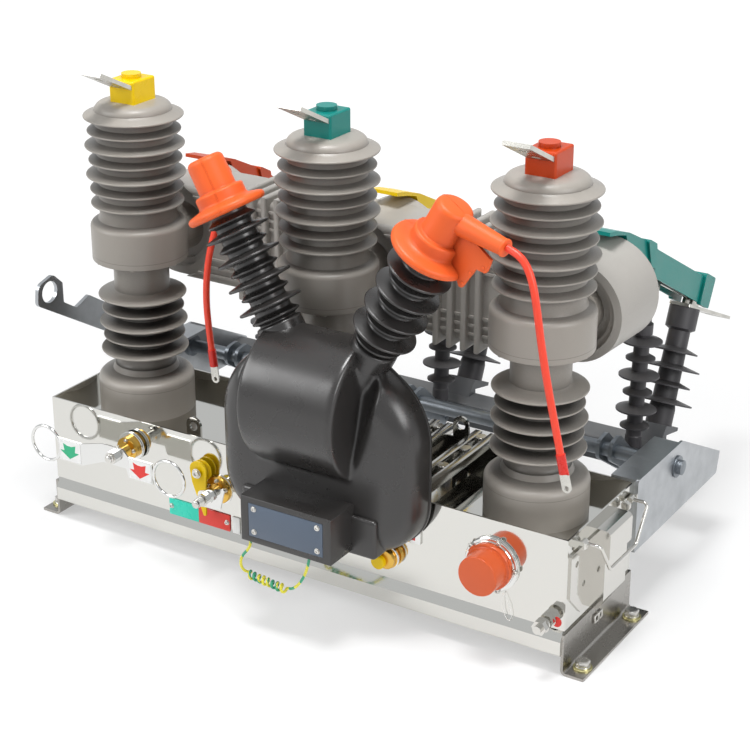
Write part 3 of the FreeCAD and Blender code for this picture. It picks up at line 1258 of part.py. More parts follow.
# Leads: silicone cords from the caps, each ending in a sleeve and a ring lug
def make_leads():
    lugs = []
    for name, route in (("right", RIGHT_LEAD), ("left", LEFT_LEAD)):
        cord = tube("lead_" + name, route, amount("Sizes.lead_r"))
        node(feature("Lead" + name.title(), cord), "lead_" + name)
        along = (route[-1] - route[-2]).normalize()
        sleeve_long, wide = amount("Sizes.sleeve_long"), amount("Sizes.lug_wide")
        thick, long = amount("Sizes.lug_flat"), amount("Sizes.lug_long")
        sleeve = Part.makeCylinder(amount("Sizes.lead_r + 1.2"), sleeve_long, route[-1], along)
        tongue = Part.makeBox(wide, thick, long, Vector(-wide / 2, -thick / 2, 0))
        tip = Vector(0, -thick / 2, long)
        tongue = tongue.fuse(Part.makeCylinder(wide / 2, thick, tip, Vector(0, 1, 0)))
        tongue = tongue.cut(Part.makeCylinder(amount("Sizes.lug_hole_r"), thick, tip, Vector(0, 1, 0)))
        root = route[-1] + along * (sleeve_long - 2)
        tongue.Placement = FreeCAD.Placement(root, Rotation(Vector(0, 0, 1), along))
        lugs.append(feature("Lug" + name.title(), sleeve.fuse(tongue)))
    node(group("LeadLugs", lugs), "lead_lugs")


# Earth wire: thin cord from the terminal box with a spare coil in its middle
def make_earth_wire():
    wires = []
    for name, route in (("left", EARTH_LEFT), ("right", EARTH_RIGHT)):
        wires.append(feature("Earth" + name.title(), tube("earth_" + name, route, amount("Sizes.earth_r"))))
    node(group("EarthWire", wires), "earth_wire")
    start, end = EARTH_LEFT[-1], EARTH_RIGHT[0]
    along = end - start
    coil = doc.addObject("Part::Cylinder", "EarthCoil")
    bind(coil, "Radius", "Sizes.earth_coil_r")
    coil.Height = along.Length
    coil.Placement = FreeCAD.Placement(start, Rotation(Vector(0, 0, 1), along))
    node(coil, "earth_coil")


# Rails under the transformer, across the tank's rims
def make_rails():
    rails = []
    for x in ("Sizes.rail_left_x", "Sizes.rail_right_x"):
        name = "Rail" + x[6:]
        channel = box(name, x, x + " + Sizes.rail_wide", "Sizes.trans_back_y", "Sizes.tank_deep / 2 + 10",
                      "Sizes.rim_z", "Sizes.rim_z + 14")
        groove = box(name + "Groove", x + " + 3", x + " + Sizes.rail_wide - 3", "Sizes.trans_back_y + 4",
                     "Sizes.tank_deep / 2 + 12", "Sizes.rim_z + 3", "Sizes.rim_z + 20")
        rails.append(cut(name + "Channel", channel, [groove]))
        rails.append(prism(name + "Bolt", "17", "9", x + " + Sizes.rail_wide / 2",
                           "Sizes.tank_deep / 2 - 6", "Sizes.rim_z + 3"))
    rails.append(box("RailPlate", "Sizes.rail_left_x - 10", "Sizes.rail_right_x + Sizes.rail_wide + 10",
                     "Sizes.trans_back_y", "Sizes.trans_back_y + 4", "Sizes.rim_z", "Sizes.rim_z + 40"))
    node(fuse("TransformerRails", rails), "transformer_rails")


# Lifting ears: ringed plates welded to the rim
def make_ears():
    ears = []
    for name, x, y, foot_z in (("Left", "-190", "-Sizes.tank_deep / 2 + 30", "Sizes.plate_z"),
                               ("Right", "168", "Sizes.tank_deep / 2 - Sizes.tank_wall", "Sizes.rim_z - 6")):
        body = new_body("Ear" + name)
        sketch = sketch_on(body, "EarProfile" + name, "XZ_Plane")
        outline(sketch, [
            ("-13", foot_z), ("13", foot_z),
            ("13", foot_z + " + Sizes.ear_high", "12.5"), ("-13", foot_z + " + Sizes.ear_high", "12.5"),
        ])
        circle(sketch, "0", foot_z + " + Sizes.ear_high - 14", "Sizes.ear_hole_r")
        pad(body, "EarPad" + name, sketch, "4")
        place(body, x, y, "0")
        ears.append(body)
    node(group("LiftingEars", ears), "lifting_ears")


# Front bushes: brass discs round the two spindles that come out of the front
def make_front_bushes():
    front = "-Sizes.tank_deep / 2"
    bushes = []
    for name, x, z, long in (("Ring", "Sizes.ring_lever_x", "Sizes.ring_lever_z", "Sizes.bush_long"),
                             ("Charge", "Sizes.charge_x", "Sizes.charge_z", "5")):
        disc = cylinder("BushDisc" + name, "Sizes.bush_r", long, x, front, z, TOWARDS_FRONT)
        neck = cylinder("BushNeck" + name, "Sizes.bush_r - 6", long + " + 4", x, front, z, TOWARDS_FRONT)
        bore = cylinder("BushBore" + name, "Sizes.spindle_r + Sizes.spindle_clearance", long + " + 8", x,
                        front + " + 2", z, TOWARDS_FRONT)
        bushes.append(cut("Bush" + name, fuse("BushSolid" + name, [disc, neck]), [bore]))
    node(group("FrontBushes", bushes), "front_bushes")


# Ring lever: flat strip with a joggle and a wire ring at each end, for opening and closing by hand
def make_ring_lever():
    front = "-Sizes.tank_deep / 2"
    x, z, face = "Sizes.ring_lever_x", "Sizes.ring_lever_z", "Sizes.ring_lever_y"
    strip = new_body("RingStrip")
    sketch = outline(sketch_on(strip, "RingStripProfile", "XZ_Plane", "-(%s)" % face), [
        ("%s - 108" % x, "%s - 32" % z),
        ("%s - 63" % x, "%s - 32" % z, "8"),
        ("%s - 22" % x, "%s - 15" % z, "8"),
        ("%s + 22" % x, "%s - 15" % z),
        ("%s + 26" % x, "%s - 29" % z, "4"),
        ("%s + 71" % x, "%s - 29" % z),
        ("%s + 71" % x, "%s + 5" % z),
        ("%s + 26" % x, "%s + 5" % z, "4"),
        ("%s + 16" % x, "%s + 15" % z, "6"),
        ("%s - 22" % x, "%s + 15" % z, "8"),
        ("%s - 63" % x, "%s + 4" % z, "8"),
        ("%s - 108" % x, "%s + 4" % z),
    ])
    pad(strip, "RingStripPad", sketch, "Sizes.strip_thick", reverse=True)
    pieces = [
        strip,
        cylinder("RingSpindle", "Sizes.spindle_r", front + " - (%s) + 15" % face, x, front, z,
                 TOWARDS_FRONT),
        prism("RingNut", "17", "8", x, face, z, TOWARDS_FRONT),
        cylinder("RingHub", "12", "8", x, face + " + 8", z, TOWARDS_FRONT),
    ]
    for side, reach in ((-1, "Sizes.ring_left"), (1, "Sizes.ring_right")):
        ring = doc.addObject("Part::Torus", "Ring%d" % (side + 1))
        bind(ring, "Radius1", "Sizes.ring_r - Sizes.wire_thick / 2")
        bind(ring, "Radius2", "Sizes.wire_thick / 2")
        place(ring, x + " + %d * %s" % (side, reach), face + " + Sizes.wire_thick / 2",
              z + " - Sizes.ring_fall", TOWARDS_FRONT)
        pieces.append(ring)
    node(fuse("RingLever", pieces), "ring_lever")


# Charging lever: flat strip on its spindle, held by a washer and a nut
def make_charging_lever():
    front = "-Sizes.tank_deep / 2"
    x, z, face = "Sizes.charge_x", "Sizes.charge_z", "Sizes.charge_y"
    strip = new_body("ChargeStrip")
    sketch = outline(sketch_on(strip, "ChargeStripProfile", "XZ_Plane", "-(%s)" % face), [
        ("%s - 18" % x, "%s + 6" % z, "8"),
        ("%s - 12" % x, "%s - 18" % z, "10"),
        ("%s + 24" % x, "%s - 14" % z, "3"),
        ("%s + 33" % x, "%s + 22" % z, "3"),
    ])
    pad(strip, "ChargeStripPad", sketch, "Sizes.strip_thick", reverse=True)
    node(fuse("ChargingLever", [
        strip,
        cylinder("ChargeSpindle", "Sizes.spindle_r", front + " - (%s) + 28" % face, x, front, z,
                 TOWARDS_FRONT),
        cylinder("ChargeHub", "9", "10", x, face + " + 12", z, TOWARDS_FRONT),
        cylinder("ChargeWasher", "10.5", "3", x, face, z, TOWARDS_FRONT),
        prism("ChargeNut", "15", "9", x, face + " - 3", z, TOWARDS_FRONT),
    ]), "charging_lever")


# Charge pointer: yellow drop on a stud of its own, its tip in front of the two-coloured label
def make_charge_pointer():
    front = "-Sizes.tank_deep / 2"
    x, z, back = "Sizes.pointer_x", "Sizes.pointer_z", "Sizes.pointer_y"
    drop = new_body("PointerDrop")
    sketch = outline(sketch_on(drop, "PointerProfile", "XZ_Plane", "-(%s)" % back), [
        ("%s - 17" % x, "%s + 18" % z, "14"),
        ("%s - 11" % x, "%s - 18" % z),
        ("%s + 8" % x, "%s - 68" % z, "1.5"),
        ("%s + 12" % x, "%s - 68" % z, "1.5"),
        ("%s + 14" % x, "%s - 16" % z),
        ("%s + 16" % x, "%s + 18" % z, "14"),
    ])
    pad(drop, "PointerPad", sketch, "3")
    node(fuse("ChargePointer", [
        drop,
        cylinder("PointerStud", "4", front + " - (%s) + 4" % back, x, front, z, TOWARDS_FRONT),
        cylinder("PointerScrew", "6.5", "3", x, back + " - 3", z, TOWARDS_FRONT),
    ]), "charge_pointer")


# Control plug: round socket on the front face and its screwed cap
def make_plug():
    front = "-Sizes.tank_deep / 2"
    x, z = "Sizes.plug_x", "Sizes.plug_z"
    node(fuse("PlugSocket", [
        cylinder("PlugFlange", "Sizes.plug_flange_r", "5.5", x, front, z, TOWARDS_FRONT),
        cylinder("PlugNeck", "Sizes.plug_r", "8", x, front, z, TOWARDS_FRONT),
    ]), "plug_socket")
    barrel = cylinder("PlugBarrel", "Sizes.plug_r", front + " - Sizes.plug_front_y - 8", x, front + " - 8", z,
                      TOWARDS_FRONT)
    face = amount("Sizes.plug_front_y")
    node(fuse("PlugCap", [
        cylinder("PlugRing", "Sizes.plug_ring_r", "8", x, front + " - 8", z, TOWARDS_FRONT),
        rounded("PlugSoft", barrel, "3", lambda edge: edge.BoundBox.YMax < face + 0.1),
    ]), "plug_cap")


# Earth stud: hexagonal bolt with washers at the right end of the front
def make_earth_stud():
    front = "-Sizes.tank_deep / 2"
    x, z = END + " - Sizes.stud_in", "Sizes.stud_z"
    node(fuse("EarthStud", [
        cylinder("StudShank", "6", "38", x, front, z, TOWARDS_FRONT),
        cylinder("StudWasherIn", "11", "3", x, front, z, TOWARDS_FRONT),
        prism("StudNutIn", "19", "9", x, front + " - 3", z, TOWARDS_FRONT),
        cylinder("StudWasherOut", "11", "3", x, front + " - 19", z, TOWARDS_FRONT),
        prism("StudNutOut", "19", "10", x, front + " - 22", z, TOWARDS_FRONT),
    ]), "earth_stud")


# End cover: folded hood over the manual release at the right end
def make_end_cover():
    end = END
    body = new_body("EndCover")
    lower = outline(sketch_on(body, "HoodProfile", "XZ_Plane", "-4"), [
        (end, "Sizes.hood_low_z"),
        (end + " + Sizes.hood_low_out - 8", "Sizes.hood_low_z", "3"),
        (end + " + Sizes.hood_low_out", "Sizes.hood_low_z + 14", "3"),
        (end + " + Sizes.hood_low_out", "Sizes.hood_step_z"),
        (end + " + Sizes.hood_out", "Sizes.hood_step_z + 7"),
        (end + " + Sizes.hood_out", "Sizes.hood_top_z", "8"),
        (end, "Sizes.hood_top_z + 1"),
    ])
    pad(body, "HoodPad", lower, "Sizes.hood_wide", both_ways=True)
    tab = outline(sketch_on(body, "TabProfile", "YZ_Plane", end), [
        ("-95", "112", "4"),
        ("-60", "76", "4"),
        ("-30", "76"),
        ("-30", "178"),
        ("-95", "178", "4"),
    ])
    circle(tab, "-54", "118", "4.5")
    circle(tab, "-78", "158", "4.5")
    pad(body, "TabPad", tab, "2.5")
    node(body, "end_cover")


# Carrying bail: bent round bar hung over the end cover
def make_bail():
    out = amount(END + " + Sizes.bail_out")
    pivot = amount(BAIL_X)
    high, low = amount("Sizes.bail_z"), amount("Sizes.bail_z - Sizes.bail_drop")
    half, foot = amount("Sizes.bail_half"), amount("Sizes.bail_foot")
    middle = amount("Sizes.bail_y")
    route = [
        Vector(pivot, middle - half, high),
        Vector(out, middle - half, high),
        Vector(out, middle - foot, low),
        Vector(out, middle + foot, low),
        Vector(out, middle + half, high),
        Vector(pivot, middle + half, high),
    ]
    edges = []
    start = route[0]
    bend = amount("Sizes.bail_bend")
    for before, corner, after in zip(route, route[1:], route[2:]):
        back, ahead = before - corner, after - corner
        turn = math.pi - back.getAngle(ahead)
        cut_back = bend * math.tan(turn / 2)
        first = corner + back.normalize() * cut_back
        last = corner + ahead.normalize() * cut_back
        inward = (back + ahead).normalize()
        edges.append(Part.LineSegment(start, first).toShape())
        edges.append(Part.Arc(first, corner + inward * (math.hypot(bend, cut_back) - bend), last).toShape())
        start = last
    edges.append(Part.LineSegment(start, route[-1]).toShape())
    section = Part.Wire([Part.makeCircle(amount("Sizes.bail_r"), route[0], route[1] - route[0])])
    bar = Part.Wire(edges).makePipeShell([section], True, True)
    long = amount("Sizes.eye_long")
    for way in (-1, 1):
        end = Vector(pivot, middle + way * half - long / 2, high)
        bar = bar.fuse(Part.makeCylinder(amount("Sizes.eye_r"), long, end, Vector(0, 1, 0)))
        bore = amount("Sizes.bail_pin_r + Sizes.pin_clearance")
        bar = bar.cut(Part.makeCylinder(bore, long, end, Vector(0, 1, 0)))
    node(feature("BailRight", bar), "bail_right")


make_tank()
make_pan()
make_feet()
for phase, place_x in PHASES:
    make_pole(phase, place_x)
    make_terminal(phase, place_x)
make_sensor_block()
make_side_plates()
make_rear_beam()
make_shaft()
make_operating_lever()
for phase, place_x in PHASES:
    make_post(phase, place_x)
    make_rear_terminal(phase, place_x)
    make_contact(phase, place_x)
    make_blade(phase, place_x)
    make_blade_cover(phase, place_x)
    make_pull_rod(phase, place_x)
make_transformer()
make_cap(-1, "left", 120, -5)
make_cap(1, "right", -11.4, 17.1)
make_leads()
make_earth_wire()
make_rails()
make_ears()
make_front_bushes()
make_ring_lever()
make_charging_lever()
make_charge_pointer()
make_plug()
make_earth_stud()
make_end_cover()
make_bail()

doc.recompute()
faults = []
for item in doc.Objects:
    if "Invalid" in item.State or "Error" in item.State:
        faults.append("%s %s" % (item.Name, item.State))
for item in nodes:
    if item.Shape.isNull() or not item.Shape.isValid():
        faults.append("%s has no valid shape" % item.Label)
if faults:
    raise SystemExit("\n".join(faults))
os.makedirs("parts", exist_ok=True)
for item in nodes:
    item.Shape.exportStep("parts/%s.step" % item.Label)
    extent = item.Shape.BoundBox
    sides = (extent.XMin, extent.XMax, extent.YMin, extent.YMax, extent.ZMin, extent.ZMax)
    print("%-20s %8.1f cm3 " % (item.Label, item.Shape.Volume / 1000) + " %.1f" * 6 % sides)
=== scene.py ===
import bpy
import math
from mathutils import Matrix, Vector


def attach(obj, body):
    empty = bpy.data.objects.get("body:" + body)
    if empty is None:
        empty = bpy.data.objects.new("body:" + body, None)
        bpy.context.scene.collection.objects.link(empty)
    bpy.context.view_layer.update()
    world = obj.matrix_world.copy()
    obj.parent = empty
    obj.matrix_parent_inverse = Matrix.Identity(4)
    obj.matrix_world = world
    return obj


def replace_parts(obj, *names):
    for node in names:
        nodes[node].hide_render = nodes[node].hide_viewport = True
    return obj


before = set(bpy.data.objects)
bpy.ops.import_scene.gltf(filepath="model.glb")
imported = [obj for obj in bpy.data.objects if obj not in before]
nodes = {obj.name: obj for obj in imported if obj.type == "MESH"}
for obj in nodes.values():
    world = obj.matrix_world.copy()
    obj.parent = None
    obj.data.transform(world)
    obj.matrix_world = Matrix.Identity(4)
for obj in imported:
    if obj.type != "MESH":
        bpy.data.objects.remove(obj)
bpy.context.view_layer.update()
scene = bpy.context.scene
scene.view_settings.view_transform = "Standard"
bpy.ops.object.select_all(action="DESELECT")
PHASES = (("a", -0.340), ("b", 0.0), ("c", 0.340))


# Camera: stands in front of the tank's right corner and looks down on the breaker,
# where the photographer's camera stood.
bpy.ops.object.camera_add(location=(1.3532, -2.0420, 1.3513),
                          rotation=(math.radians(66.81), 0, math.radians(31.94)))
camera = bpy.context.object
camera.name = "photo_camera"
camera.data.lens = 88.37
camera.data.sensor_width = 36
scene.camera = camera


# Studio: white paper sweep under and behind the breaker, two soft boxes at the sides
# and a soft panel overhead.
def shader(name):
    """New material, with its tree and its Principled shader."""
    material = bpy.data.materials.new(name)
    material.use_nodes = True
    tree = material.node_tree
    return material, tree, tree.nodes["Principled BSDF"]


def wire(tree, node, sockets):
    """Gives a node's sockets, by name or number, their values or links."""
    for key, value in sockets.items():
        if isinstance(value, bpy.types.NodeSocket):
            tree.links.new(value, node.inputs[key])
        else:
            node.inputs[key].default_value = value


def add_node(tree, kind, sockets=None, **options):
    """A node with its options, values and links."""
    made = tree.nodes.new(kind)
    for key, value in options.items():
        setattr(made, key, value)
    wire(tree, made, sockets or {})
    return made


def reckoned(tree, operation, *values):
    """Result of one step of arithmetic."""
    return add_node(tree, "ShaderNodeMath", dict(enumerate(values)), operation=operation).outputs[0]


def ranged(tree, value, low, high, to_low=0.0, to_high=1.0):
    """A value moved from one range to another, held at its ends."""
    return add_node(tree, "ShaderNodeMapRange", {"Value": value, "From Min": low, "From Max": high,
                                                 "To Min": to_low, "To Max": to_high}).outputs[0]


def own_place(tree):
    """Place on the piece, in its own coordinates."""
    return add_node(tree, "ShaderNodeTexCoord").outputs["Object"]


def srgb(code):
    """Linear colour from a hex code, as a paint chart gives it."""
    channels = [int(code[i:i + 2], 16) / 255 for i in (0, 2, 4)]
    return tuple(c / 12.92 if c <= 0.04045 else ((c + 0.055) / 1.055) ** 2.4 for c in channels) + (1.0,)


def paper_white():
    """Matt white paper that shows lighter to the camera the farther it lies from the breaker."""
    material, tree, principled = shader("paper_white")
    wire(tree, principled, {"Base Color": srgb("F2F2F2"), "Roughness": 0.9, "Specular IOR Level": 0.1})
    rays = add_node(tree, "ShaderNodeLightPath").outputs
    seen = reckoned(tree, "MAXIMUM", rays["Is Camera Ray"], rays["Is Glossy Ray"])
    distance = add_node(tree, "ShaderNodeVectorMath", {0: own_place(tree)}, operation="LENGTH")
    share = reckoned(tree, "MULTIPLY", seen, ranged(tree, distance.outputs["Value"], 0.55, 1.7, 0.36, 1.0))
    glow = add_node(tree, "ShaderNodeEmission", {"Color": (1, 1, 1, 1), "Strength": 1.10})
    mix = add_node(tree, "ShaderNodeMixShader", {0: share, 1: principled.outputs[0], 2: glow.outputs[0]})
    wire(tree, tree.nodes["Material Output"], {"Surface": mix.outputs[0]})
    return material


bpy.ops.mesh.primitive_plane_add(size=14, location=(0, 0, -0.0005))
floor = bpy.context.object
floor.name = "paper_floor"
floor.data.materials.append(paper_white())

world = bpy.data.worlds.new("studio")
scene.world = world
world.use_nodes = True
sky = world.node_tree
rays = add_node(sky, "ShaderNodeLightPath").outputs
ambient = sky.nodes["Background"]
wire(sky, ambient, {"Color": (0.96, 0.98, 1.0, 1),
                    "Strength": reckoned(sky, "MULTIPLY_ADD", rays["Is Glossy Ray"], 0.40, 0.30)})
backdrop = add_node(sky, "ShaderNodeBackground", {"Color": (1, 1, 1, 1), "Strength": 1.0})
seen = reckoned(sky, "MAXIMUM", rays["Is Camera Ray"], rays["Is Transmission Ray"])
choice = add_node(sky, "ShaderNodeMixShader", {0: seen, 1: ambient.outputs[0], 2: backdrop.outputs[0]})
wire(sky, sky.nodes["World Output"], {"Surface": choice.outputs[0]})


def soft_box(name, place, aim, size, power):
    """Square lamp that faces a point of the breaker."""
    bpy.ops.object.light_add(type="AREA", location=place)
    lamp = bpy.context.object
    lamp.name = name
    lamp.data.size = size
    lamp.data.energy = power
    turn = (Vector(aim) - Vector(place)).to_track_quat("-Z", "Y")
    lamp.rotation_euler = turn.to_euler()


soft_box("box_left", (-2.2, -2.0, 2.0), (0, 0, 0.3), 1.6, 44)
soft_box("box_right", (2.6, -0.6, 1.7), (0.1, 0, 0.3), 1.4, 34)
soft_box("panel_top", (0.15, -0.35, 3.1), (0, 0, 0.3), 0.9, 62)


# Red leads: silicone high-voltage leads between the rubber caps and crimped copper lugs,
# held by a glossy shrink sleeve at the lower end.
def noise(tree, place, scale, detail, **sockets):
    """Value of a soft noise at a place."""
    fed = {"Vector": place, "Scale": scale, "Detail": detail}
    fed.update({key.title(): value for key, value in sockets.items()})
    return add_node(tree, "ShaderNodeTexNoise", fed).outputs["Fac"]


def weathered_and_shaded():
    """Node group: two noises vary a colour, a roughness and a height; dust and painted shade in hollows are
    added.
    """
    group = bpy.data.node_groups.new("weathered_and_shaded", "ShaderNodeTree")
    for label, kind, start in (("Color", "NodeSocketColor", (0.5, 0.5, 0.5, 1)),
                               ("Dust", "NodeSocketColor", (0.7, 0.68, 0.64, 1)),
                               ("Dust Amount", "NodeSocketFloat", 0.1),
                               ("Mottle", "NodeSocketFloat", 0.08),
                               ("Roughness", "NodeSocketFloat", 0.5),
                               ("Painted Shade", "NodeSocketFloat", 0.0),
                               ("Grain Scale", "NodeSocketFloat", 900.0)):
        group.interface.new_socket(label, in_out="INPUT", socket_type=kind).default_value = start
    for label, kind in (("Color", "NodeSocketColor"), ("Roughness", "NodeSocketFloat"),
                        ("Height", "NodeSocketFloat")):
        group.interface.new_socket(label, in_out="OUTPUT", socket_type=kind)
    given = add_node(group, "NodeGroupInput").outputs
    place = own_place(group)
    clouds = noise(group, place, 14.0, 5.0, roughness=0.6)
    grain = noise(group, place, given["Grain Scale"], 2.0)
    # Soft darker and lighter areas
    swing = ranged(group, clouds, 0.3, 0.7, -0.5, 0.5)
    shift = reckoned(group, "MULTIPLY_ADD", swing, given["Mottle"], 1.0)
    tone = add_node(group, "ShaderNodeVectorMath", {0: given["Color"], "Scale": shift}, operation="SCALE")
    # Dust lies on what faces up
    normal = add_node(group, "ShaderNodeNewGeometry").outputs["Normal"]
    facing = add_node(group, "ShaderNodeSeparateXYZ", {0: normal}).outputs["Z"]
    lie = reckoned(group, "MULTIPLY", ranged(group, facing, 0.2, 1.0), clouds)
    amount = reckoned(group, "MULTIPLY", lie, given["Dust Amount"])
    blend = add_node(group, "ShaderNodeMix", data_type="RGBA")
    wire(group, blend, {"Factor": amount, "A": tone.outputs[0], "B": given["Dust"]})
    # Painted shade in narrow hollows: the colour darkens where ambient occlusion finds the piece's own
    # surfaces close by
    hollow = add_node(group, "ShaderNodeAmbientOcclusion", {"Distance": 0.045}, only_local=True, samples=6)
    depth = ranged(group, hollow.outputs["AO"], 0.30, 0.92, 1.0, 0.0)
    left = reckoned(group, "SUBTRACT", 1.0, reckoned(group, "MULTIPLY", depth, given["Painted Shade"]))
    shaded_tone = add_node(group, "ShaderNodeVectorMath", {0: blend.outputs["Result"], "Scale": left},
                    operation="SCALE")
    rough = reckoned(group, "MULTIPLY_ADD", swing, 0.14, given["Roughness"])
    add_node(group, "NodeGroupOutput", {"Color": shaded_tone.outputs[0], "Roughness": rough, "Height": grain})
    return group


WEATHERED_AND_SHADED = weathered_and_shaded()


def moulded(name, color, roughness, mottle=0.08, dust=0.1, grain=900.0, bump=0.0002, level=0.5,
            painted_shade=0.0):
    """Plastic, rubber or resin with a fine moulded grain, a little mottle, dust on top and painted shade in
    narrow hollows.
    """
    material, tree, principled = shader(name)
    wear = add_node(tree, "ShaderNodeGroup", node_tree=WEATHERED_AND_SHADED)
    wire(tree, wear, {"Color": srgb(color), "Roughness": roughness, "Mottle": mottle, "Dust Amount": dust,
                      "Grain Scale": grain, "Painted Shade": painted_shade})
    lumps = add_node(tree, "ShaderNodeBump", {"Strength": 0.5, "Distance": bump,
                                              "Height": wear.outputs["Height"]})
    wire(tree, principled, {"Base Color": wear.outputs["Color"], "Roughness": wear.outputs["Roughness"],
                            "Normal": lumps.outputs["Normal"], "Specular IOR Level": level})
    return material


def lead(name, route, diameter, material):
    """Round lead along a smooth line through the air."""
    curve = bpy.data.curves.new(name, "CURVE")
    curve.dimensions = "3D"
    curve.bevel_depth = diameter / 2
    curve.bevel_resolution = 6
    curve.resolution_u = 12
    curve.use_fill_caps = True
    line = curve.splines.new("NURBS")
    line.points.add(len(route) - 1)
    for point, at in zip(line.points, route):
        point.co = (*at, 1)
    line.order_u = 3
    line.use_endpoint_u = True
    piece = bpy.data.objects.new(name, curve)
    scene.collection.objects.link(piece)
    piece.data.materials.append(material)
    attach(piece, "base")
    return piece


RED_SILICONE = moulded("red_silicone", "F2452C", 0.34, mottle=0.06, dust=0.02, grain=1400)
right_route = [
    (0.3570, -0.1360, 0.6025), (0.3730, -0.1391, 0.5992), (0.3880, -0.1420, 0.5870),
    (0.3990, -0.1450, 0.5650), (0.4070, -0.1470, 0.5310), (0.4145, -0.1480, 0.4900),
    (0.4245, -0.1480, 0.4420), (0.4360, -0.1480, 0.3940), (0.4470, -0.1480, 0.3490),
]
red_lead_right = lead("red_lead_right", right_route, 0.010, RED_SILICONE)
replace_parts(red_lead_right, "lead_right")
left_route = [
    (-0.1487, -0.0356, 0.5910), (-0.1554, -0.0208, 0.5855), (-0.1630, -0.0110, 0.5710),
    (-0.1690, -0.0090, 0.5520), (-0.1740, -0.0130, 0.5280), (-0.1810, -0.0210, 0.4910),
    (-0.1885, -0.0280, 0.4500), (-0.1930, -0.0300, 0.4000), (-0.1910, -0.0300, 0.3520),
    (-0.1860, -0.0300, 0.3120),
]
red_lead_left = lead("red_lead_left", left_route, 0.010, RED_SILICONE)
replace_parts(red_lead_left, "lead_left")


# Earth wire: thin stranded wire in a yellow and green sheath, wound into a short coil
# under the terminal box and clamped inside the box at both ends.
def striped_sheath():
    """Sheath whose colour changes along the wire, from yellow to green and back."""
    material, tree, principled = shader("striped_sheath")
    parts = add_node(tree, "ShaderNodeSeparateXYZ", {0: own_place(tree)}).outputs
    rise = reckoned(tree, "MULTIPLY", parts["Z"], 120)
    wave = reckoned(tree, "SINE", reckoned(tree, "MULTIPLY_ADD", parts["X"], 210, rise))
    colors = add_node(tree, "ShaderNodeMix", data_type="RGBA")
    wire(tree, colors, {"Factor": ranged(tree, wave, 0.05, 0.2), "A": srgb("E8E04A"), "B": srgb("3FA57C")})
    wire(tree, principled, {"Base Color": colors.outputs["Result"], "Roughness": 0.42})
    return material


COIL_TURNS, COIL_STEPS = 8, 12
COIL_START = Vector((0.009, -0.219, 0.081))
COIL_END = Vector((0.070, -0.219, 0.075))
earth_route = [
    (0.014, -0.219, 0.138), (0.013, -0.219, 0.128), (0.008, -0.219, 0.119),
    (0.001, -0.219, 0.111), (-0.004, -0.219, 0.102), (-0.005, -0.219, 0.092),
    (0.000, -0.219, 0.084),
]
for step in range(COIL_TURNS * COIL_STEPS + 1):
    angle = step / COIL_STEPS * 2 * math.pi
    middle = COIL_START.lerp(COIL_END, step / (COIL_TURNS * COIL_STEPS))
    loop = 0.0048 + 0.0004 * math.sin(1.7 * angle)
    earth_route.append((middle.x, middle.y + loop * math.cos(angle), middle.z + loop * math.sin(angle)))
earth_route += [
    (0.082, -0.219, 0.079), (0.092, -0.219, 0.088), (0.101, -0.219, 0.102),
    (0.108, -0.219, 0.119), (0.112, -0.219, 0.138),
]
earth_lead = lead("earth_lead", earth_route, 0.004, striped_sheath())
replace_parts(earth_lead, "earth_wire", "earth_coil")


# Tank and pan: folded from mirror-polished stainless sheet, welded at the corners,
# with the faint waviness and wiping marks of thin polished sheet.
def marks(tree, scale):
    """Value of fine marks, drawn out along one way."""
    squeeze = add_node(tree, "ShaderNodeMapping", {"Scale": scale, "Vector": own_place(tree)})
    return noise(tree, squeeze.outputs[0], 1.5, 3.0)


def polished(name, tint, roughness, scratch=0.25):
    """Mirror-polished sheet with slow waves and fine wiping marks."""
    material, tree, principled = shader(name)
    smear = noise(tree, own_place(tree), 9.0, 6.0, roughness=0.65)
    slow = add_node(tree, "ShaderNodeBump", {"Strength": 0.35, "Distance": 0.0024,
                                             "Height": noise(tree, own_place(tree), 4.5, 1.0)})
    fine = add_node(tree, "ShaderNodeBump", {"Strength": scratch * 0.2, "Distance": 0.0002,
                                             "Height": marks(tree, (6, 6, 420)),
                                             "Normal": slow.outputs["Normal"]})
    wire(tree, principled, {"Metallic": 1.0, "Base Color": srgb(tint), "Normal": fine.outputs["Normal"],
                            "Roughness": ranged(tree, smear, 0.35, 0.75, roughness, roughness + 0.09)})
    return material


def finish_node(names, material):
    """Gives CAD nodes their finish."""
    for label in names:
        mesh = nodes[label].data
        mesh.materials.clear()
        mesh.materials.append(material)


MIRROR_STEEL = polished("mirror_steel", "D6D5D0", 0.04)
finish_node(["tank_shell", "tank_pan"], MIRROR_STEEL)


# Feet: bent angles of brushed plate under the tank's ends.
FOOT_STEEL = polished("foot_steel", "A8A5A0", 0.24, scratch=1.0)
finish_node(["foot_left", "foot_right"], FOOT_STEEL)


# Poles: silicone-covered epoxy columns, moulded in two halves, matt warm grey. Each stands
# on a foot flange, carries two stacks of sheds round a collar and sends an arm to the rear.
def only(*pieces):
    """Selects these pieces and no other; the first is the active one."""
    bpy.ops.object.select_all(action="DESELECT")
    for piece in pieces:
        piece.select_set(True)
    bpy.context.view_layer.objects.active = pieces[0]
    return pieces[0]


def settle(piece):
    """Puts a piece's place, turn and size into its mesh."""
    only(piece)
    bpy.ops.object.transform_apply(location=True, rotation=True, scale=True)
    return piece


def pick(piece, kind, chosen):
    """Selects the faces or edges of a piece that a test chooses, and no other."""
    only(piece)
    bpy.ops.object.mode_set(mode="EDIT")
    bpy.ops.mesh.select_mode(type="FACE" if kind == "polygons" else "EDGE")
    bpy.ops.mesh.select_all(action="DESELECT")
    bpy.ops.object.mode_set(mode="OBJECT")
    for item in getattr(piece.data, kind):
        item.select = chosen(item)
    bpy.ops.object.mode_set(mode="EDIT")


def joined(pieces):
    """One piece of several."""
    only(*pieces)
    bpy.ops.object.join()
    return settle(bpy.context.object)


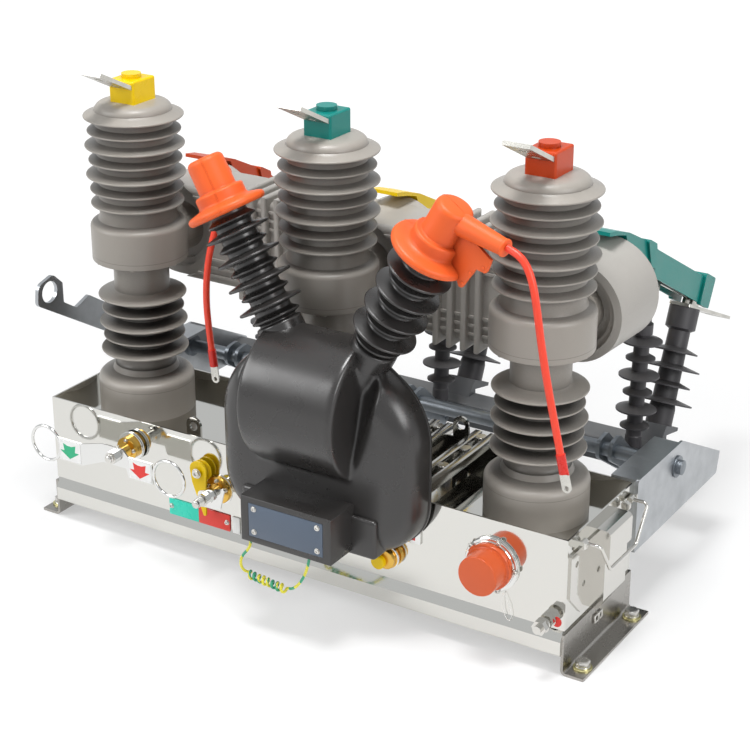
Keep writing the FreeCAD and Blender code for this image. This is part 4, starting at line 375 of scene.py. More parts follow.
def applied(piece, kind, **settings):
    """Adds a modifier with its settings and applies it."""
    only(piece)
    modifier = piece.modifiers.new("shaping", kind)
    for key, value in settings.items():
        setattr(modifier, key, value)
    bpy.ops.object.modifier_apply(modifier=modifier.name)
    return piece


def softened(piece, width, segments=3, angle=35):
    """Rounds a piece's sharp edges."""
    settle(piece)
    return applied(piece, "BEVEL", width=width, segments=segments, limit_method="ANGLE",
                   angle_limit=math.radians(angle))


def finished(piece, name, material, body="base", angle=35):
    """Names a piece, smooths it, gives it its finish and lets it ride on a body."""
    settle(piece)
    piece.name = name
    piece.data.name = name
    piece.data.materials.clear()
    piece.data.materials.append(material)
    bpy.ops.object.shade_smooth_by_angle(angle=math.radians(angle))
    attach(piece, body)
    piece.select_set(False)
    return piece


def block(low, high, soft=0.0, segments=3):
    """Rectangular block between two corners, its edges rounded."""
    middle = [(a + b) / 2 for a, b in zip(low, high)]
    bpy.ops.mesh.primitive_cube_add(size=1, location=middle, scale=[b - a for a, b in zip(low, high)])
    piece = settle(bpy.context.object)
    if soft:
        softened(piece, soft, segments)
    return piece


def round_bar(start, end, radius, end_radius=None, vertices=48, soft=0.0):
    """Straight round or tapered bar between two points."""
    start, end = Vector(start), Vector(end)
    along = end - start
    bpy.ops.mesh.primitive_cone_add(vertices=vertices, radius1=radius, depth=along.length,
                                    radius2=radius if end_radius is None else end_radius,
                                    location=(start + end) / 2,
                                    rotation=along.to_track_quat("Z", "Y").to_euler())
    piece = settle(bpy.context.object)
    if soft:
        softened(piece, soft)
    return piece


def rounded_outline(corners, steps=10):
    """Points round an outline, from corners given as (across, up, radius)."""
    points = []
    for index, (across, up, radius) in enumerate(corners):
        corner = Vector((across, up))
        back = (Vector(corners[index - 1][:2]) - corner).normalized()
        ahead = (Vector(corners[(index + 1) % len(corners)][:2]) - corner).normalized()
        if not radius:
            points.append(corner)
            continue
        half = back.angle(ahead) / 2
        centre = corner + (back + ahead).normalized() * radius / math.sin(half)
        first = corner + back * radius / math.tan(half) - centre
        last = corner + ahead * radius / math.tan(half) - centre
        turn = first.angle_signed(last)
        for step in range(steps + 1):
            swing = Matrix.Rotation(-turn * step / steps, 2)
            points.append(centre + swing @ first)
    return points


def plate(points, near, far):
    """Flat plate of an outline in XZ, between two depths along Y."""
    bpy.ops.mesh.primitive_circle_add(vertices=len(points), fill_type="NGON")
    piece = bpy.context.object
    for vertex, point in zip(piece.data.vertices, points):
        vertex.co = (point[0], near, point[1])
    bpy.ops.object.mode_set(mode="EDIT")
    bpy.ops.mesh.select_all(action="SELECT")
    bpy.ops.mesh.extrude_region_move(TRANSFORM_OT_translate={"value": (0, far - near, 0)})
    bpy.ops.mesh.select_all(action="SELECT")
    bpy.ops.mesh.normals_make_consistent(inside=False)
    bpy.ops.object.mode_set(mode="OBJECT")
    return piece


def turned(profile, frame_of, vertices=72):
    """Body of revolution about its own Z axis, from (radius, height) points, then put in place."""
    bpy.ops.mesh.primitive_plane_add(size=0.01)
    piece = bpy.context.object
    bpy.ops.object.mode_set(mode="EDIT")
    bpy.ops.mesh.select_all(action="SELECT")
    bpy.ops.mesh.merge(type="CENTER")
    start = Vector((profile[0][0], 0, profile[0][1]))
    bpy.ops.transform.translate(value=start)
    for (r0, z0), (r1, z1) in zip(profile, profile[1:]):
        bpy.ops.mesh.extrude_vertices_move(TRANSFORM_OT_translate={"value": (r1 - r0, 0, z1 - z0)})
    bpy.ops.mesh.select_all(action="SELECT")
    bpy.ops.mesh.spin(steps=vertices, angle=2 * math.pi, center=(0, 0, 0), axis=(0, 0, 1))
    bpy.ops.mesh.select_all(action="SELECT")
    bpy.ops.mesh.remove_doubles(threshold=0.00001)
    bpy.ops.mesh.normals_make_consistent(inside=False)
    bpy.ops.object.mode_set(mode="OBJECT")
    piece.data.transform(frame_of)
    return piece


def arc(centre, radius, start, end, steps):
    """Points of an arc in a profile, from one angle to another."""
    angles = [math.radians(start + (end - start) * step / steps) for step in range(steps + 1)]
    return [(centre[0] + radius * math.cos(a), centre[1] + radius * math.sin(a)) for a in angles]


def line_mask(tree, axis, places, width):
    """Mask that is 1 on thin lines where one of the piece's own coordinates meets given places."""
    across = add_node(tree, "ShaderNodeSeparateXYZ", {0: own_place(tree)}).outputs[axis]
    mask = 0.0
    for at in places:
        mask = reckoned(tree, "MAXIMUM", mask, reckoned(tree, "COMPARE", across, at, width))
    return mask


def laid_over(material, mask, color, share):
    """Lays another colour over a material's own colour, where a mask says."""
    tree = material.node_tree
    principled = tree.nodes["Principled BSDF"]
    under = principled.inputs["Base Color"].links[0].from_socket
    over = add_node(tree, "ShaderNodeMix", {"Factor": reckoned(tree, "MULTIPLY", mask, share), "A": under,
                                            "B": srgb(color)}, data_type="RGBA")
    wire(tree, principled, {"Base Color": over.outputs["Result"]})


POLE_Y, COLLAR_Z, ARM_Z, ARM_END_Y = 0.004, 0.4206, 0.440, 0.2119
SHED_PITCH = 0.022
NECK_RADIUS, COLUMN_RADIUS = 0.042, 0.0575
# Full painted shade: the cores between the sheds darken where ambient occlusion finds the sheds close by.
POLE_GREY = moulded("pole_grey", "9A948C", 0.36, mottle=0.06, dust=0.2, grain=1100, painted_shade=1.0)
laid_over(POLE_GREY, line_mask(POLE_GREY.node_tree, "Z", (COLLAR_Z + 0.0088, 0.2230), 0.0004), "625D58", 0.6)


def shed(core, reach, z, rim=0.0017, rise=0.0042, drop=0.0032):
    """Profile points of one shed: hollow underside, round rim, flat cone on top."""
    return ([(core, z - rim - drop), (core + 0.003, z - rim - drop * 0.6)]
            + arc((reach - rim, z), rim, -80, 70, 5)
            + [(core + 0.004, z + rise + 0.0008), (core, z + rise + 0.0042)])


def pole(x):
    """Turned column with its sheds, the rear arm and the moulding knobs under the collar."""
    profile = [(0.0, 0.176), (0.0736, 0.176)] + arc((0.0636, 0.226), 0.010, 0, 80, 6)
    profile += [(0.0510, 0.2415)] + arc((0.0500, 0.2575), 0.008, -110, -180, 5)
    for index in range(5):
        profile += shed(NECK_RADIUS, 0.0668 if index % 2 == 0 else 0.0623, 0.2751 + SHED_PITCH * index)
    profile += arc((NECK_RADIUS + 0.003, COLLAR_Z - 0.003), 0.003, 180, 90, 3)
    profile += arc((0.0702, COLLAR_Z + 0.002), 0.002, -90, 0, 4)
    profile += arc((0.0642, 0.472), 0.008, 0, 75, 6) + [(0.0600, 0.4835), (COLUMN_RADIUS, 0.4905)]
    for index in range(7):
        profile += shed(COLUMN_RADIUS, 0.0740 if index in (2, 4, 6) else 0.0694, 0.5083 + SHED_PITCH * index)
    profile += arc((0.0445, 0.647), 0.013, 0, 78, 7) + [(0.030, 0.6615), (0.0, 0.662)]
    pieces = [turned(profile, Matrix.Translation((x, POLE_Y, 0)), 96)]
    pieces.append(round_bar((x, POLE_Y, ARM_Z), (x, ARM_END_Y, ARM_Z), 0.038, vertices=64, soft=0.002))
    for turn in (-118, -62, -5, 62, 118, 175):
        out = Matrix.Rotation(math.radians(turn), 3, "Z") @ Vector((0.0655, 0, 0))
        spot = Vector((x, POLE_Y, COLLAR_Z)) + out
        pieces.append(round_bar(spot - Vector((0, 0, 0.0022)), spot + Vector((0, 0, 0.002)), 0.0042, 0.0052,
                                vertices=20, soft=0.0008))
    return joined(pieces)


for phase, x in PHASES:
    column = finished(pole(x), "pole_column_" + phase, POLE_GREY, angle=38)
    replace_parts(column, "pole_" + phase)


# Sensor block: pale grey resin casting that carries a barrel behind each pole.
# A little painted shade darkens the casting's narrow hollows.
SENSOR_GREY = moulded("sensor_grey", "A8A49E", 0.42, mottle=0.06, dust=0.25, grain=1300, painted_shade=0.1)
finish_node(["sensor_block"], SENSOR_GREY)


# Terminal covers and bars: glossy coloured plastic over flat tinned copper.
# Painted shade darkens the covers' narrow hollows.
YELLOW = moulded("yellow_plastic", "F2CC00", 0.30, mottle=0.05, dust=0.0, painted_shade=0.3, level=0.3)
GREEN = moulded("green_plastic", "0B8078", 0.32, mottle=0.06, dust=0.0, painted_shade=0.5, level=0.35)
ORANGE = moulded("orange_plastic", "C4400A", 0.32, mottle=0.06, dust=0.0, painted_shade=0.5, level=0.35)
finish_node(["terminal_cover_a", "blade_cover_b"], YELLOW)
finish_node(["terminal_cover_b", "blade_cover_c"], GREEN)
finish_node(["terminal_cover_c", "blade_cover_a"], ORANGE)


def plated(name, tint, roughness, streak=0.3, mottle=0.25):
    """Plated or ground metal: cloudy tone and short grinding streaks."""
    material, tree, principled = shader(name)
    clouds = noise(tree, own_place(tree), 22.0, 6.0, roughness=0.62)
    color = srgb(tint)
    dark = tuple(c * (1 - mottle) for c in color[:3]) + (1,)
    tone = add_node(tree, "ShaderNodeMix", {"Factor": ranged(tree, clouds, 0.35, 0.7), "A": color, "B": dark},
                    data_type="RGBA")
    bump = add_node(tree, "ShaderNodeBump", {"Strength": streak, "Distance": 0.0002,
                                             "Height": marks(tree, (500, 12, 500))})
    wire(tree, principled, {"Metallic": 1.0, "Base Color": tone.outputs["Result"],
                            "Roughness": ranged(tree, clouds, 0.3, 0.7, roughness - 0.06, roughness + 0.08),
                            "Normal": bump.outputs["Normal"]})
    return material


TINNED = plated("tinned_copper", "CFCDC6", 0.30)
finish_node([start + phase for start in ("terminal_bar_", "rear_terminal_", "fixed_contact_", "blade_")
             for phase, x in PHASES], TINNED)


# Lugs of the red leads: tinned ring lugs whose barrels are held by a glossy red sleeve.
def sleeved_lug():
    """Tinned metal below a red sleeve, which ends higher on the right lead than on the left one."""
    material = plated("sleeved_lug", "D5D3CC", 0.26)
    tree = material.node_tree
    parts = add_node(tree, "ShaderNodeSeparateXYZ", {0: own_place(tree)}).outputs
    on_right = reckoned(tree, "GREATER_THAN", parts["X"], 0.1)
    sleeve_end = reckoned(tree, "MULTIPLY_ADD", on_right, 0.0365, 0.2865)
    sleeve = reckoned(tree, "GREATER_THAN", parts["Z"], sleeve_end)
    laid_over(material, sleeve, "D8281C", 1.0)
    wire(tree, tree.nodes["Principled BSDF"], {"Metallic": reckoned(tree, "SUBTRACT", 1.0, sleeve)})
    return material


finish_node(["lead_lugs"], sleeved_lug())


# Rear frame: hot-dip zinc on folded side plates, shaft and operating lever, and a dark
# painted beam under the support insulators.
ZINC = plated("zinc_steel", "B9BCBF", 0.36, streak=0.2, mottle=0.16)
finish_node(["side_plate_left", "side_plate_right", "operating_lever"], ZINC)
SHAFT_ZINC = plated("shaft_zinc", "8F959B", 0.42, streak=0.2, mottle=0.3)
finish_node(["isolator_shaft"], SHAFT_ZINC)
BEAM_PAINT = moulded("beam_paint", "4B4E52", 0.45, mottle=0.12, dust=0.2)
finish_node(["rear_beam"], BEAM_PAINT)


# Support insulators and pull rods: dark silicone sheds on glass-fibre rods.
# Painted shade darkens the cores between the sheds.
DARK_SILICONE = moulded("dark_silicone", "403E41", 0.45, mottle=0.1, dust=0.15, painted_shade=0.6)
finish_node([start + phase for start in ("support_insulator_", "pull_rod_") for phase, x in PHASES],
            DARK_SILICONE)


# Voltage transformer: one black epoxy casting. A soft slab carries the drum over its
# winding with a valley beside each of its faces, the two bushings lean apart above, the
# terminal box stands out below, and the mould leaves a rim round the back.
CAST_X, CAST_BACK, CAST_FRONT = 0.077, -0.108, -0.168
DRUM_LEFT, DRUM_RIGHT, DRUM_Y, DRUM_Z, DRUM_RADIUS = CAST_X - 0.0845, CAST_X + 0.0685, -0.116, 0.327, 0.102
BUSHING_LEAN, BUSHINGS_CROSS = math.radians(29), Vector((CAST_X, -0.118, 0.282))
EDGE_ROUND, SLAB_VOXEL, CASTING_VOXEL = 0.040, 0.003, 0.0024
BLACK_EPOXY = moulded("black_epoxy", "2D2B2A", 0.29, mottle=0.02, dust=0.0, grain=1600, bump=0.00002,
                      level=0.7)


def both_sides(corners):
    """Outline from its right-hand corners and their mirror images about the casting's middle."""
    left = [(2 * CAST_X - across, up, soft) for across, up, soft in reversed(corners)]
    return rounded_outline(corners + left, 14)


def leaning(side):
    """Place of a bushing's own Z axis: -1 leans to the left, 1 to the right."""
    return Matrix.Translation(BUSHINGS_CROSS) @ Matrix.Rotation(BUSHING_LEAN * side, 4, "Y")


def cast_body():
    """Slab, drum and the bushings' collars, melted together into one skin."""
    corners = [(CAST_X + 0.160, 0.125, 0.080), (CAST_X + 0.160, 0.347, 0.108), (CAST_X + 0.052, 0.422, 0.060)]
    slab = plate(both_sides(corners), CAST_BACK + 0.030, CAST_FRONT)
    at_front = [abs(vertex.co.y - CAST_FRONT) < 1e-5 for vertex in slab.data.vertices]
    pick(slab, "edges", lambda edge: all(at_front[i] for i in edge.vertices))
    bpy.ops.mesh.bevel(offset=EDGE_ROUND, segments=9, affect="EDGES", clamp_overlap=False)
    bpy.ops.mesh.select_mode(type="VERT")
    bpy.ops.object.mode_set(mode="OBJECT")
    applied(slab, "REMESH", mode="VOXEL", voxel_size=SLAB_VOXEL)
    for face, side in ((DRUM_LEFT, -1), (DRUM_RIGHT, 1)):
        scoop = round_bar((face - side * 0.001, CAST_FRONT, 0.258), (face + side * 0.010, CAST_FRONT, 0.450),
                          0.003, 0.050)
        applied(slab, "BOOLEAN", object=scoop, operation="DIFFERENCE", solver="EXACT")
        bpy.data.objects.remove(scoop)
    applied(slab, "REMESH", mode="VOXEL", voxel_size=SLAB_VOXEL)
    applied(slab, "SMOOTH", factor=0.6, iterations=26)
    pieces = [slab, round_bar((DRUM_LEFT, DRUM_Y, DRUM_Z), (DRUM_RIGHT, DRUM_Y, DRUM_Z), DRUM_RADIUS,
                              vertices=128, soft=0.005)]
    for side in (-1, 1):
        foot, top = (leaning(side) @ Vector((0, 0, along)) for along in (0.080, 0.138))
        pieces.append(round_bar(foot, top, 0.0345, 0.0334, vertices=64))
    body = joined(pieces)
    bpy.ops.object.mode_set(mode="EDIT")
    bpy.ops.mesh.select_all(action="SELECT")
    bpy.ops.mesh.bisect(plane_co=(0, CAST_BACK, 0), plane_no=(0, 1, 0), use_fill=True, clear_outer=True)
    bpy.ops.object.mode_set(mode="OBJECT")
    applied(body, "REMESH", mode="VOXEL", voxel_size=CASTING_VOXEL)
    applied(body, "SMOOTH", factor=0.5, iterations=14)
    return body


def bushing(side):
    """Root, core and nine sheds with rounded rims, wide and narrow in turn."""
    pitch, rim, core, top = (0.326 - 0.172) / 8.6, 0.0021, 0.0262, 0.3265
    profile = [(0.0, 0.118), (0.0332, 0.118), (0.033, 0.158)] + arc((0.029, 0.160), 0.004, 0, 80, 4)
    for index in range(9):
        z = 0.172 + pitch * index
        reach = 0.035 if index % 2 == 0 else 0.046
        profile += arc((core + 0.002, z - 0.0062), 0.002, 200, 100, 3)
        profile += arc((reach - rim, z), rim, -80, 75, 6)
        profile += arc((core + 0.003, z + 0.0085), 0.003, -110, -190, 3)
    return turned(profile + [(core, top), (0.0, top)], leaning(side))


def terminal_box():
    """Box in front with a sunk face, and the square lug across behind it."""
    wide, high, rim, depth = 0.148, 0.069, 0.0105, 0.002
    box = block((CAST_X - wide / 2, -0.226, 0.138), (CAST_X + wide / 2, -0.128, 0.138 + high))
    pick(box, "polygons", lambda face: face.normal.y < -0.9)
    bpy.ops.mesh.inset(thickness=rim)
    bpy.ops.transform.resize(value=(0.122 / (wide - 2 * rim), 1, 0.051 / (high - 2 * rim)))
    bpy.ops.mesh.extrude_region_move(TRANSFORM_OT_translate={"value": (0, depth, 0)})
    bpy.ops.mesh.select_mode(type="VERT")
    bpy.ops.object.mode_set(mode="OBJECT")
    softened(box, 0.0022, 3)
    lug = block((CAST_X - 0.110, -0.175, 0.132), (CAST_X + 0.112, -0.114, 0.191), 0.006, 4)
    return [box, lug]


seam_corners = [(CAST_X + 0.1612, 0.1238, 0.081), (CAST_X + 0.1612, 0.3478, 0.109),
                (CAST_X + 0.0526, 0.4234, 0.060)]
seam = softened(plate(both_sides(seam_corners), CAST_BACK, CAST_BACK - 0.004), 0.0008, 2)
transformer = joined([cast_body(), bushing(-1), bushing(1), seam] + terminal_box())
finished(transformer, "transformer_casting", BLACK_EPOXY, angle=32)
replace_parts(transformer, "transformer_body")


# Terminal cover plate: blue-grey plate sunk in the terminal box, held by four socket screws.
PLATE_BLUE = moulded("plate_blue", "566374", 0.36, mottle=0.05, dust=0.02)
SCREW_STEEL = plated("screw_steel", "D9D7D2", 0.24, streak=0.1, mottle=0.15)
PLATE_FACE_Y = -0.2258
cover_plate = block((0.0162, -0.2259, 0.1472), (0.1378, -0.2240, 0.1978), 0.0004, 2)
finished(cover_plate, "terminal_cover_plate", PLATE_BLUE)
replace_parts(cover_plate, "terminal_plate")


def placed_copies(source, stem, frames, body="base"):
    """Copies of a finished piece, numbered from 2, each with a mesh of its own and put in its place."""
    for number, frame_of in enumerate(frames, start=2):
        copy = source.copy()
        copy.data = source.data.copy()
        copy.name = copy.data.name = "%s_%d" % (stem, number)
        scene.collection.objects.link(copy)
        copy.data.transform(frame_of)
        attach(copy, body)


def moved(*steps):
    """Frames that move a piece by given steps."""
    return [Matrix.Translation(step) for step in steps]


def towards_front(at, y):
    """Place on a front face at (x, z) and a depth: the piece's own Z axis looks along -Y."""
    return Matrix.Translation((at[0], y, at[1])) @ Matrix.Rotation(math.radians(90), 4, "X")


def pan_screw(radius, high, name, frame_of, body="base"):
    """Cheese-head screw over a thin washer, with a round recess where the real screw has a hexagonal socket.
    """
    profile = [(0.0, 0.0), (radius * 1.25, 0.0), (radius * 1.25, high * 0.2), (radius, high * 0.22)]
    profile += arc((radius - high * 0.2, high * 0.8), high * 0.2, 0, 90, 4)
    profile += [(radius * 0.46, high), (radius * 0.40, high * 0.55), (0.0, high * 0.5)]
    return finished(turned(profile, frame_of, 28), name, SCREW_STEEL, body)


first_screw = pan_screw(0.0034, 0.0021, "plate_screw_1", towards_front((CAST_X - 0.052, 0.155), PLATE_FACE_Y))
placed_copies(first_screw, "plate_screw", moved((0.104, 0, 0), (0, 0, 0.035), (0.104, 0, 0.035)))


# Rubber caps: orange silicone boots over the transformer's terminals, moulded in two
# halves that leave a raised seam, with a thick brim, a step ring and a side spout.
# Painted shade darkens the caps' narrow hollows under the brim and web.
ORANGE_RUBBER = moulded("orange_rubber", "EE652C", 0.42, mottle=0.05, dust=0.0, grain=1200, painted_shade=0.5,
                        level=0.35)
CAP_SEAT, WEB_HALF, SEAM_HALF, SPOUT_LONG = 0.326, 0.0028, 0.0005, 0.0915


def rubber_cap(name, side, azimuth, rise):
    """Brimmed cap with its web and spout; the spout points to an azimuth and rises."""
    seat = CAP_SEAT
    profile = [(0.0, seat + 0.001), (0.043, seat + 0.001), (0.0475, seat + 0.0008)]
    profile += arc((0.0505, seat + 0.0065), 0.0058, -95, 75, 9)
    profile += [(0.0445, seat + 0.0142), (0.0372, seat + 0.0160), (0.0356, seat + 0.0176)]
    profile += [(0.0350, seat + 0.0200), (0.0350, seat + 0.0290)]
    profile += arc((0.0310, seat + 0.0300), 0.0040, 5, 90, 5) + [(0.0285, seat + 0.0344)]
    profile += arc((0.0285, seat + 0.0362), 0.0018, -90, -180, 3)
    profile += [(0.0262, 0.3975)] + arc((0.0180, 0.4000), 0.0080, 0, 82, 7) + [(0.0, 0.4081)]
    pieces = [turned(profile, Matrix.Identity(4), 80)]
    web = plate([(0.010, seat + 0.010), (0.050, seat + 0.008), (0.056, seat + 0.003), (0.062, seat - 0.001),
                 (0.066, seat + 0.001), (0.070, seat + 0.036), (0.084, seat + 0.041), (0.085, seat + 0.046),
                 (0.082, 0.388), (0.010, 0.392)], -WEB_HALF, WEB_HALF)
    pieces.append(softened(web, 0.001, 2))
    start = Vector((0.004, 0, 0.388))
    along = Vector((math.cos(math.radians(rise)), 0, math.sin(math.radians(rise))))
    tip = start + along * SPOUT_LONG
    pieces.append(round_bar(start, tip - along * 0.004, 0.0165, 0.0112))
    pieces.append(round_bar(tip - along * 0.005, tip - along * 0.0012, 0.0122, soft=0.0012))
    # Raised seam along the parting plane, round the body's own outline
    edge = [(radius + SEAM_HALF, z) for radius, z in profile[3:-1]] + [(0.0, 0.4086)]
    pieces.append(plate([(-across, z) for across, z in edge] + edge[-2::-1], -SEAM_HALF, SEAM_HALF))
    for across, up in ((0.0635, seat + 0.0065), (0.066, seat + 0.026), (0.0785, seat + 0.0455)):
        pieces.append(round_bar((across, -0.0036, up), (across, 0.0036, up), 0.0028, vertices=20,
                                soft=0.0008))
    cap = joined(pieces)
    cap.data.transform(leaning(side) @ Matrix.Rotation(math.radians(azimuth), 4, "Z"))
    return finished(cap, name, ORANGE_RUBBER, angle=40)


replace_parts(rubber_cap("rubber_cap_left", -1, 120, -5), "cap_left")
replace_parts(rubber_cap("rubber_cap_right", 1, -11.4, 17.1), "cap_right")


# Lifting ears, bail, end cover and earth stud: bright-plated steel.
BRIGHT_STEEL = polished("bright_steel", "D2D0CB", 0.08, scratch=0.5)
finish_node(["lifting_ears", "bail_right", "end_cover", "earth_stud"], BRIGHT_STEEL)


# Rails under the transformer: strut channels with in-turned lips, laid across the tank's
# rims and bolted down, with a foot plate at the front.
def hex_bolt(across, high, washer, name, frame_of):
    """Chamfered hexagon head with a low crown, on a washer of a given radius."""
    thick, chamfer = 0.0022, 0.0006
    bpy.ops.mesh.primitive_cylinder_add(vertices=6, radius=across / 2 / math.cos(math.pi / 6), depth=high,
                                        location=(0, 0, high / 2 + thick))
    head = softened(bpy.context.object, high * 0.08, 2, 50)
    collar = turned([(0.0, 0.0), (washer, 0.0), (washer, thick - chamfer), (washer - chamfer, thick),
                     (0.0, thick)], Matrix.Identity(4), 40)
    crown = turned([(0.0, high), (across * 0.47, high), (across * 0.43, high + 0.0028), (0.0, high + 0.0030)],
                   Matrix.Identity(4), 36)
    bolt = joined([head, collar, crown])
    bolt.data.transform(frame_of)
    return finished(bolt, name, SCREW_STEEL, angle=30)


RAIL_STEEL = polished("rail_steel", "C6C4BE", 0.16, scratch=0.7)
RAIL_PITCH, RAIL_START, RAIL_FLOOR_Z = 0.072, CAST_BACK + 0.0002, 0.2031


def strut(x, width, near, far, floor_z, high):
    """Channel whose two lips turn inwards and down."""
    lip, lip_drop, wall = 0.009, 0.005, 0.0022
    inner, top = width / 2 - wall, floor_z + high
    half = [(width / 2, floor_z), (width / 2, top), (inner - lip, top), (inner - lip, top - lip_drop),
            (inner - lip + wall, top - lip_drop), (inner - lip + wall, top - wall), (inner, top - wall),
            (inner, floor_z + wall)]
    section = half + [(-across, up) for across, up in reversed(half)]
    return softened(plate([(x + across, up) for across, up in section], near, far), 0.0006, 2, 50)


rails = [strut(x, 0.0358, RAIL_START, 0.1125, RAIL_FLOOR_Z, 0.0138) for x in (0.130, 0.130 + RAIL_PITCH)]
rails.append(block((0.102, RAIL_START, RAIL_FLOOR_Z), (0.230, CAST_BACK + 0.0040, 0.2430), 0.001, 2))
rail_piece = finished(joined(rails), "transformer_struts", RAIL_STEEL)
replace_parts(rail_piece, "transformer_rails")
rail_bolt = hex_bolt(0.017, 0.0085, 0.0125, "rail_bolt_1", Matrix.Translation((0.130, 0.0965, 0.2054)))
placed_copies(rail_bolt, "rail_bolt", moved((RAIL_PITCH, 0, 0), (0, -0.045, 0), (RAIL_PITCH, -0.045, 0),
                                            (0, -0.110, 0), (RAIL_PITCH, -0.110, 0)))


# Foot bolts: zinc hexagon bolts on large yellow-chromated washers through the feet.
YELLOW_ZINC = plated("yellow_zinc", "D6CF9A", 0.3, streak=0.1, mottle=0.3)
HOLE_X, HOLE_Y = 0.461, -0.079
foot_washer = finished(turned([(0.0, 0.0), (0.0135, 0.0), (0.0135, 0.0017), (0.0129, 0.0022), (0.0, 0.0022)],
                              Matrix.Translation((HOLE_X, HOLE_Y, 0.0041)), 44),
                       "foot_washer_1", YELLOW_ZINC)
foot_bolt = hex_bolt(0.018, 0.0075, 0.0105, "foot_bolt_1", Matrix.Translation((HOLE_X, HOLE_Y, 0.0062)))
other_holes = moved((0, -2 * HOLE_Y, 0), (-2 * HOLE_X, 0, 0), (-2 * HOLE_X, -2 * HOLE_Y, 0))
placed_copies(foot_washer, "foot_washer", other_holes)
placed_copies(foot_bolt, "foot_bolt", other_holes)


# Front fittings: brass bushes with a pressed steel ring and set screws, bright levers.
BRASS = plated("turned_brass", "E0B458", 0.22, streak=0.15, mottle=0.16)
finish_node(["front_bushes"], BRASS)
CHROME = polished("chrome_steel", "DEDEDC", 0.07, scratch=0.3)
finish_node(["ring_lever", "charging_lever", "plug_socket"], CHROME)
FRONT_WALL, RING_AT, CHARGE_AT = -0.1026, (-0.284, 0.161), (-0.126, 0.128)


def front_turned(profile, at, y, name, material, body="base", vertices=56):
    """Turned piece that looks forward from a place on the front."""
    return finished(turned(profile, towards_front(at, y), vertices), name, material, body)


def turned_about(at, turns):
    """Frames that turn a piece about a line through (x, z), which runs from front to back."""
    centre = Matrix.Translation((at[0], 0, at[1]))
    return [centre @ Matrix.Rotation(math.radians(turn), 4, "Y") @ centre.inverted() for turn in turns]


ring_band = [(0.0175, 0.0), (0.0225, 0.0), (0.0230, 0.0006), (0.0230, 0.0018), (0.0225, 0.0024),
             (0.0195, 0.0024), (0.0195, 0.0034), (0.0225, 0.0034), (0.0230, 0.0040), (0.0230, 0.0052),
             (0.0225, 0.0058), (0.0175, 0.0058)]
front_turned(ring_band, RING_AT, -0.1060, "ring_bush_band", CHROME)
set_screw = pan_screw(0.0027, 0.0030, "ring_bush_screw_1",
                      towards_front((RING_AT[0] - 0.0135, RING_AT[1]), -0.1206))
placed_copies(set_screw, "ring_bush_screw", turned_about(RING_AT, (90, 180, 270)))
charge_band = [(0.0, 0.0), (0.0235, 0.0), (0.0235, 0.0012), (0.0, 0.0012)]
front_turned(charge_band, CHARGE_AT, FRONT_WALL, "charging_bush_band", CHROME)
charge_flange = [(0.0070, 0.0), (0.0215, 0.0), (0.0215, 0.0030), (0.0208, 0.0040), (0.0070, 0.0052)]
front_turned(charge_flange, CHARGE_AT, -0.1040, "charging_bush_flange", BRASS)
flange_screw = pan_screw(0.0028, 0.0032, "charging_bush_screw_1",
                         towards_front((CHARGE_AT[0] - 0.0155, 0.1325), -0.1082))
placed_copies(flange_screw, "charging_bush_screw", moved((0.0155, 0, 0.0115), (0.0310, 0, 0)))


# Lever nuts: washer, threaded end and dome over each spindle, in front of its lever.
def spindle_end(name, face, high, at, body):
    """Dome-ended thread that stands on a washer."""
    pitch, root, crest = 0.0014, 0.0062, 0.0068
    profile = [(0.0, 0.0), (0.0095, 0.0), (0.0095, 0.0012), (root, 0.0014)]
    for index in range(int((high - 0.0055) / pitch)):
        profile += [(crest, 0.0021 + pitch * index), (root, 0.0028 + pitch * index)]
    profile += [(root, high - 0.0034)] + arc((0.0030, high - 0.0034), 0.0032, 0, 85, 5) + [(0.0, high)]
    front_turned(profile, at, face, name, SCREW_STEEL, body, 40)


spindle_end("ring_lever_end", -0.1580, 0.0085, RING_AT, "ring_lever")
spindle_end("charging_lever_end", -0.1460, 0.0178, CHARGE_AT, "charging_lever")


# Arrow tags: white stickers on the ring lever's strips, a green and a red arrow that
# point down, where the real ones also carry a sign.
TAG_WHITE = moulded("tag_white", "F1F1EF", 0.35, mottle=0.02, dust=0.02)
TAG_GREEN = moulded("tag_green", "27B582", 0.35, mottle=0.03, dust=0.01)
TAG_RED = moulded("tag_red", "E5332B", 0.35, mottle=0.03, dust=0.01)
TAG_BACK, TAG_THICK, ARROW_SCALE = -0.1501, 0.0003, 1.27


def arrow_tag(name, left, right, low, high, middle, top, material):
    """White field and an arrow on it."""
    face = TAG_BACK - TAG_THICK
    field = block((left, face, low), (right, TAG_BACK, high), 0.0001, 1)
    finished(field, name + "_field", TAG_WHITE, "ring_lever")
    shape = [(-0.0095, 0), (-0.0030, -0.0022), (0.0030, -0.0022), (0.0095, 0), (0.0080, -0.0090),
             (0.0145, -0.0092), (0.0, -0.0188), (-0.0145, -0.0092), (-0.0080, -0.0090)]
    arrow = plate([(middle + a * ARROW_SCALE, top + b * ARROW_SCALE) for a, b in shape], face, face - 0.0002)
    finished(arrow, name + "_arrow", material, "ring_lever")


arrow_tag("open_tag", -0.3905, -0.3495, 0.1310, 0.1635, -0.3710, 0.1580, TAG_GREEN)
arrow_tag("close_tag", -0.2560, -0.2150, 0.1335, 0.1645, -0.2362, 0.1600, TAG_RED)


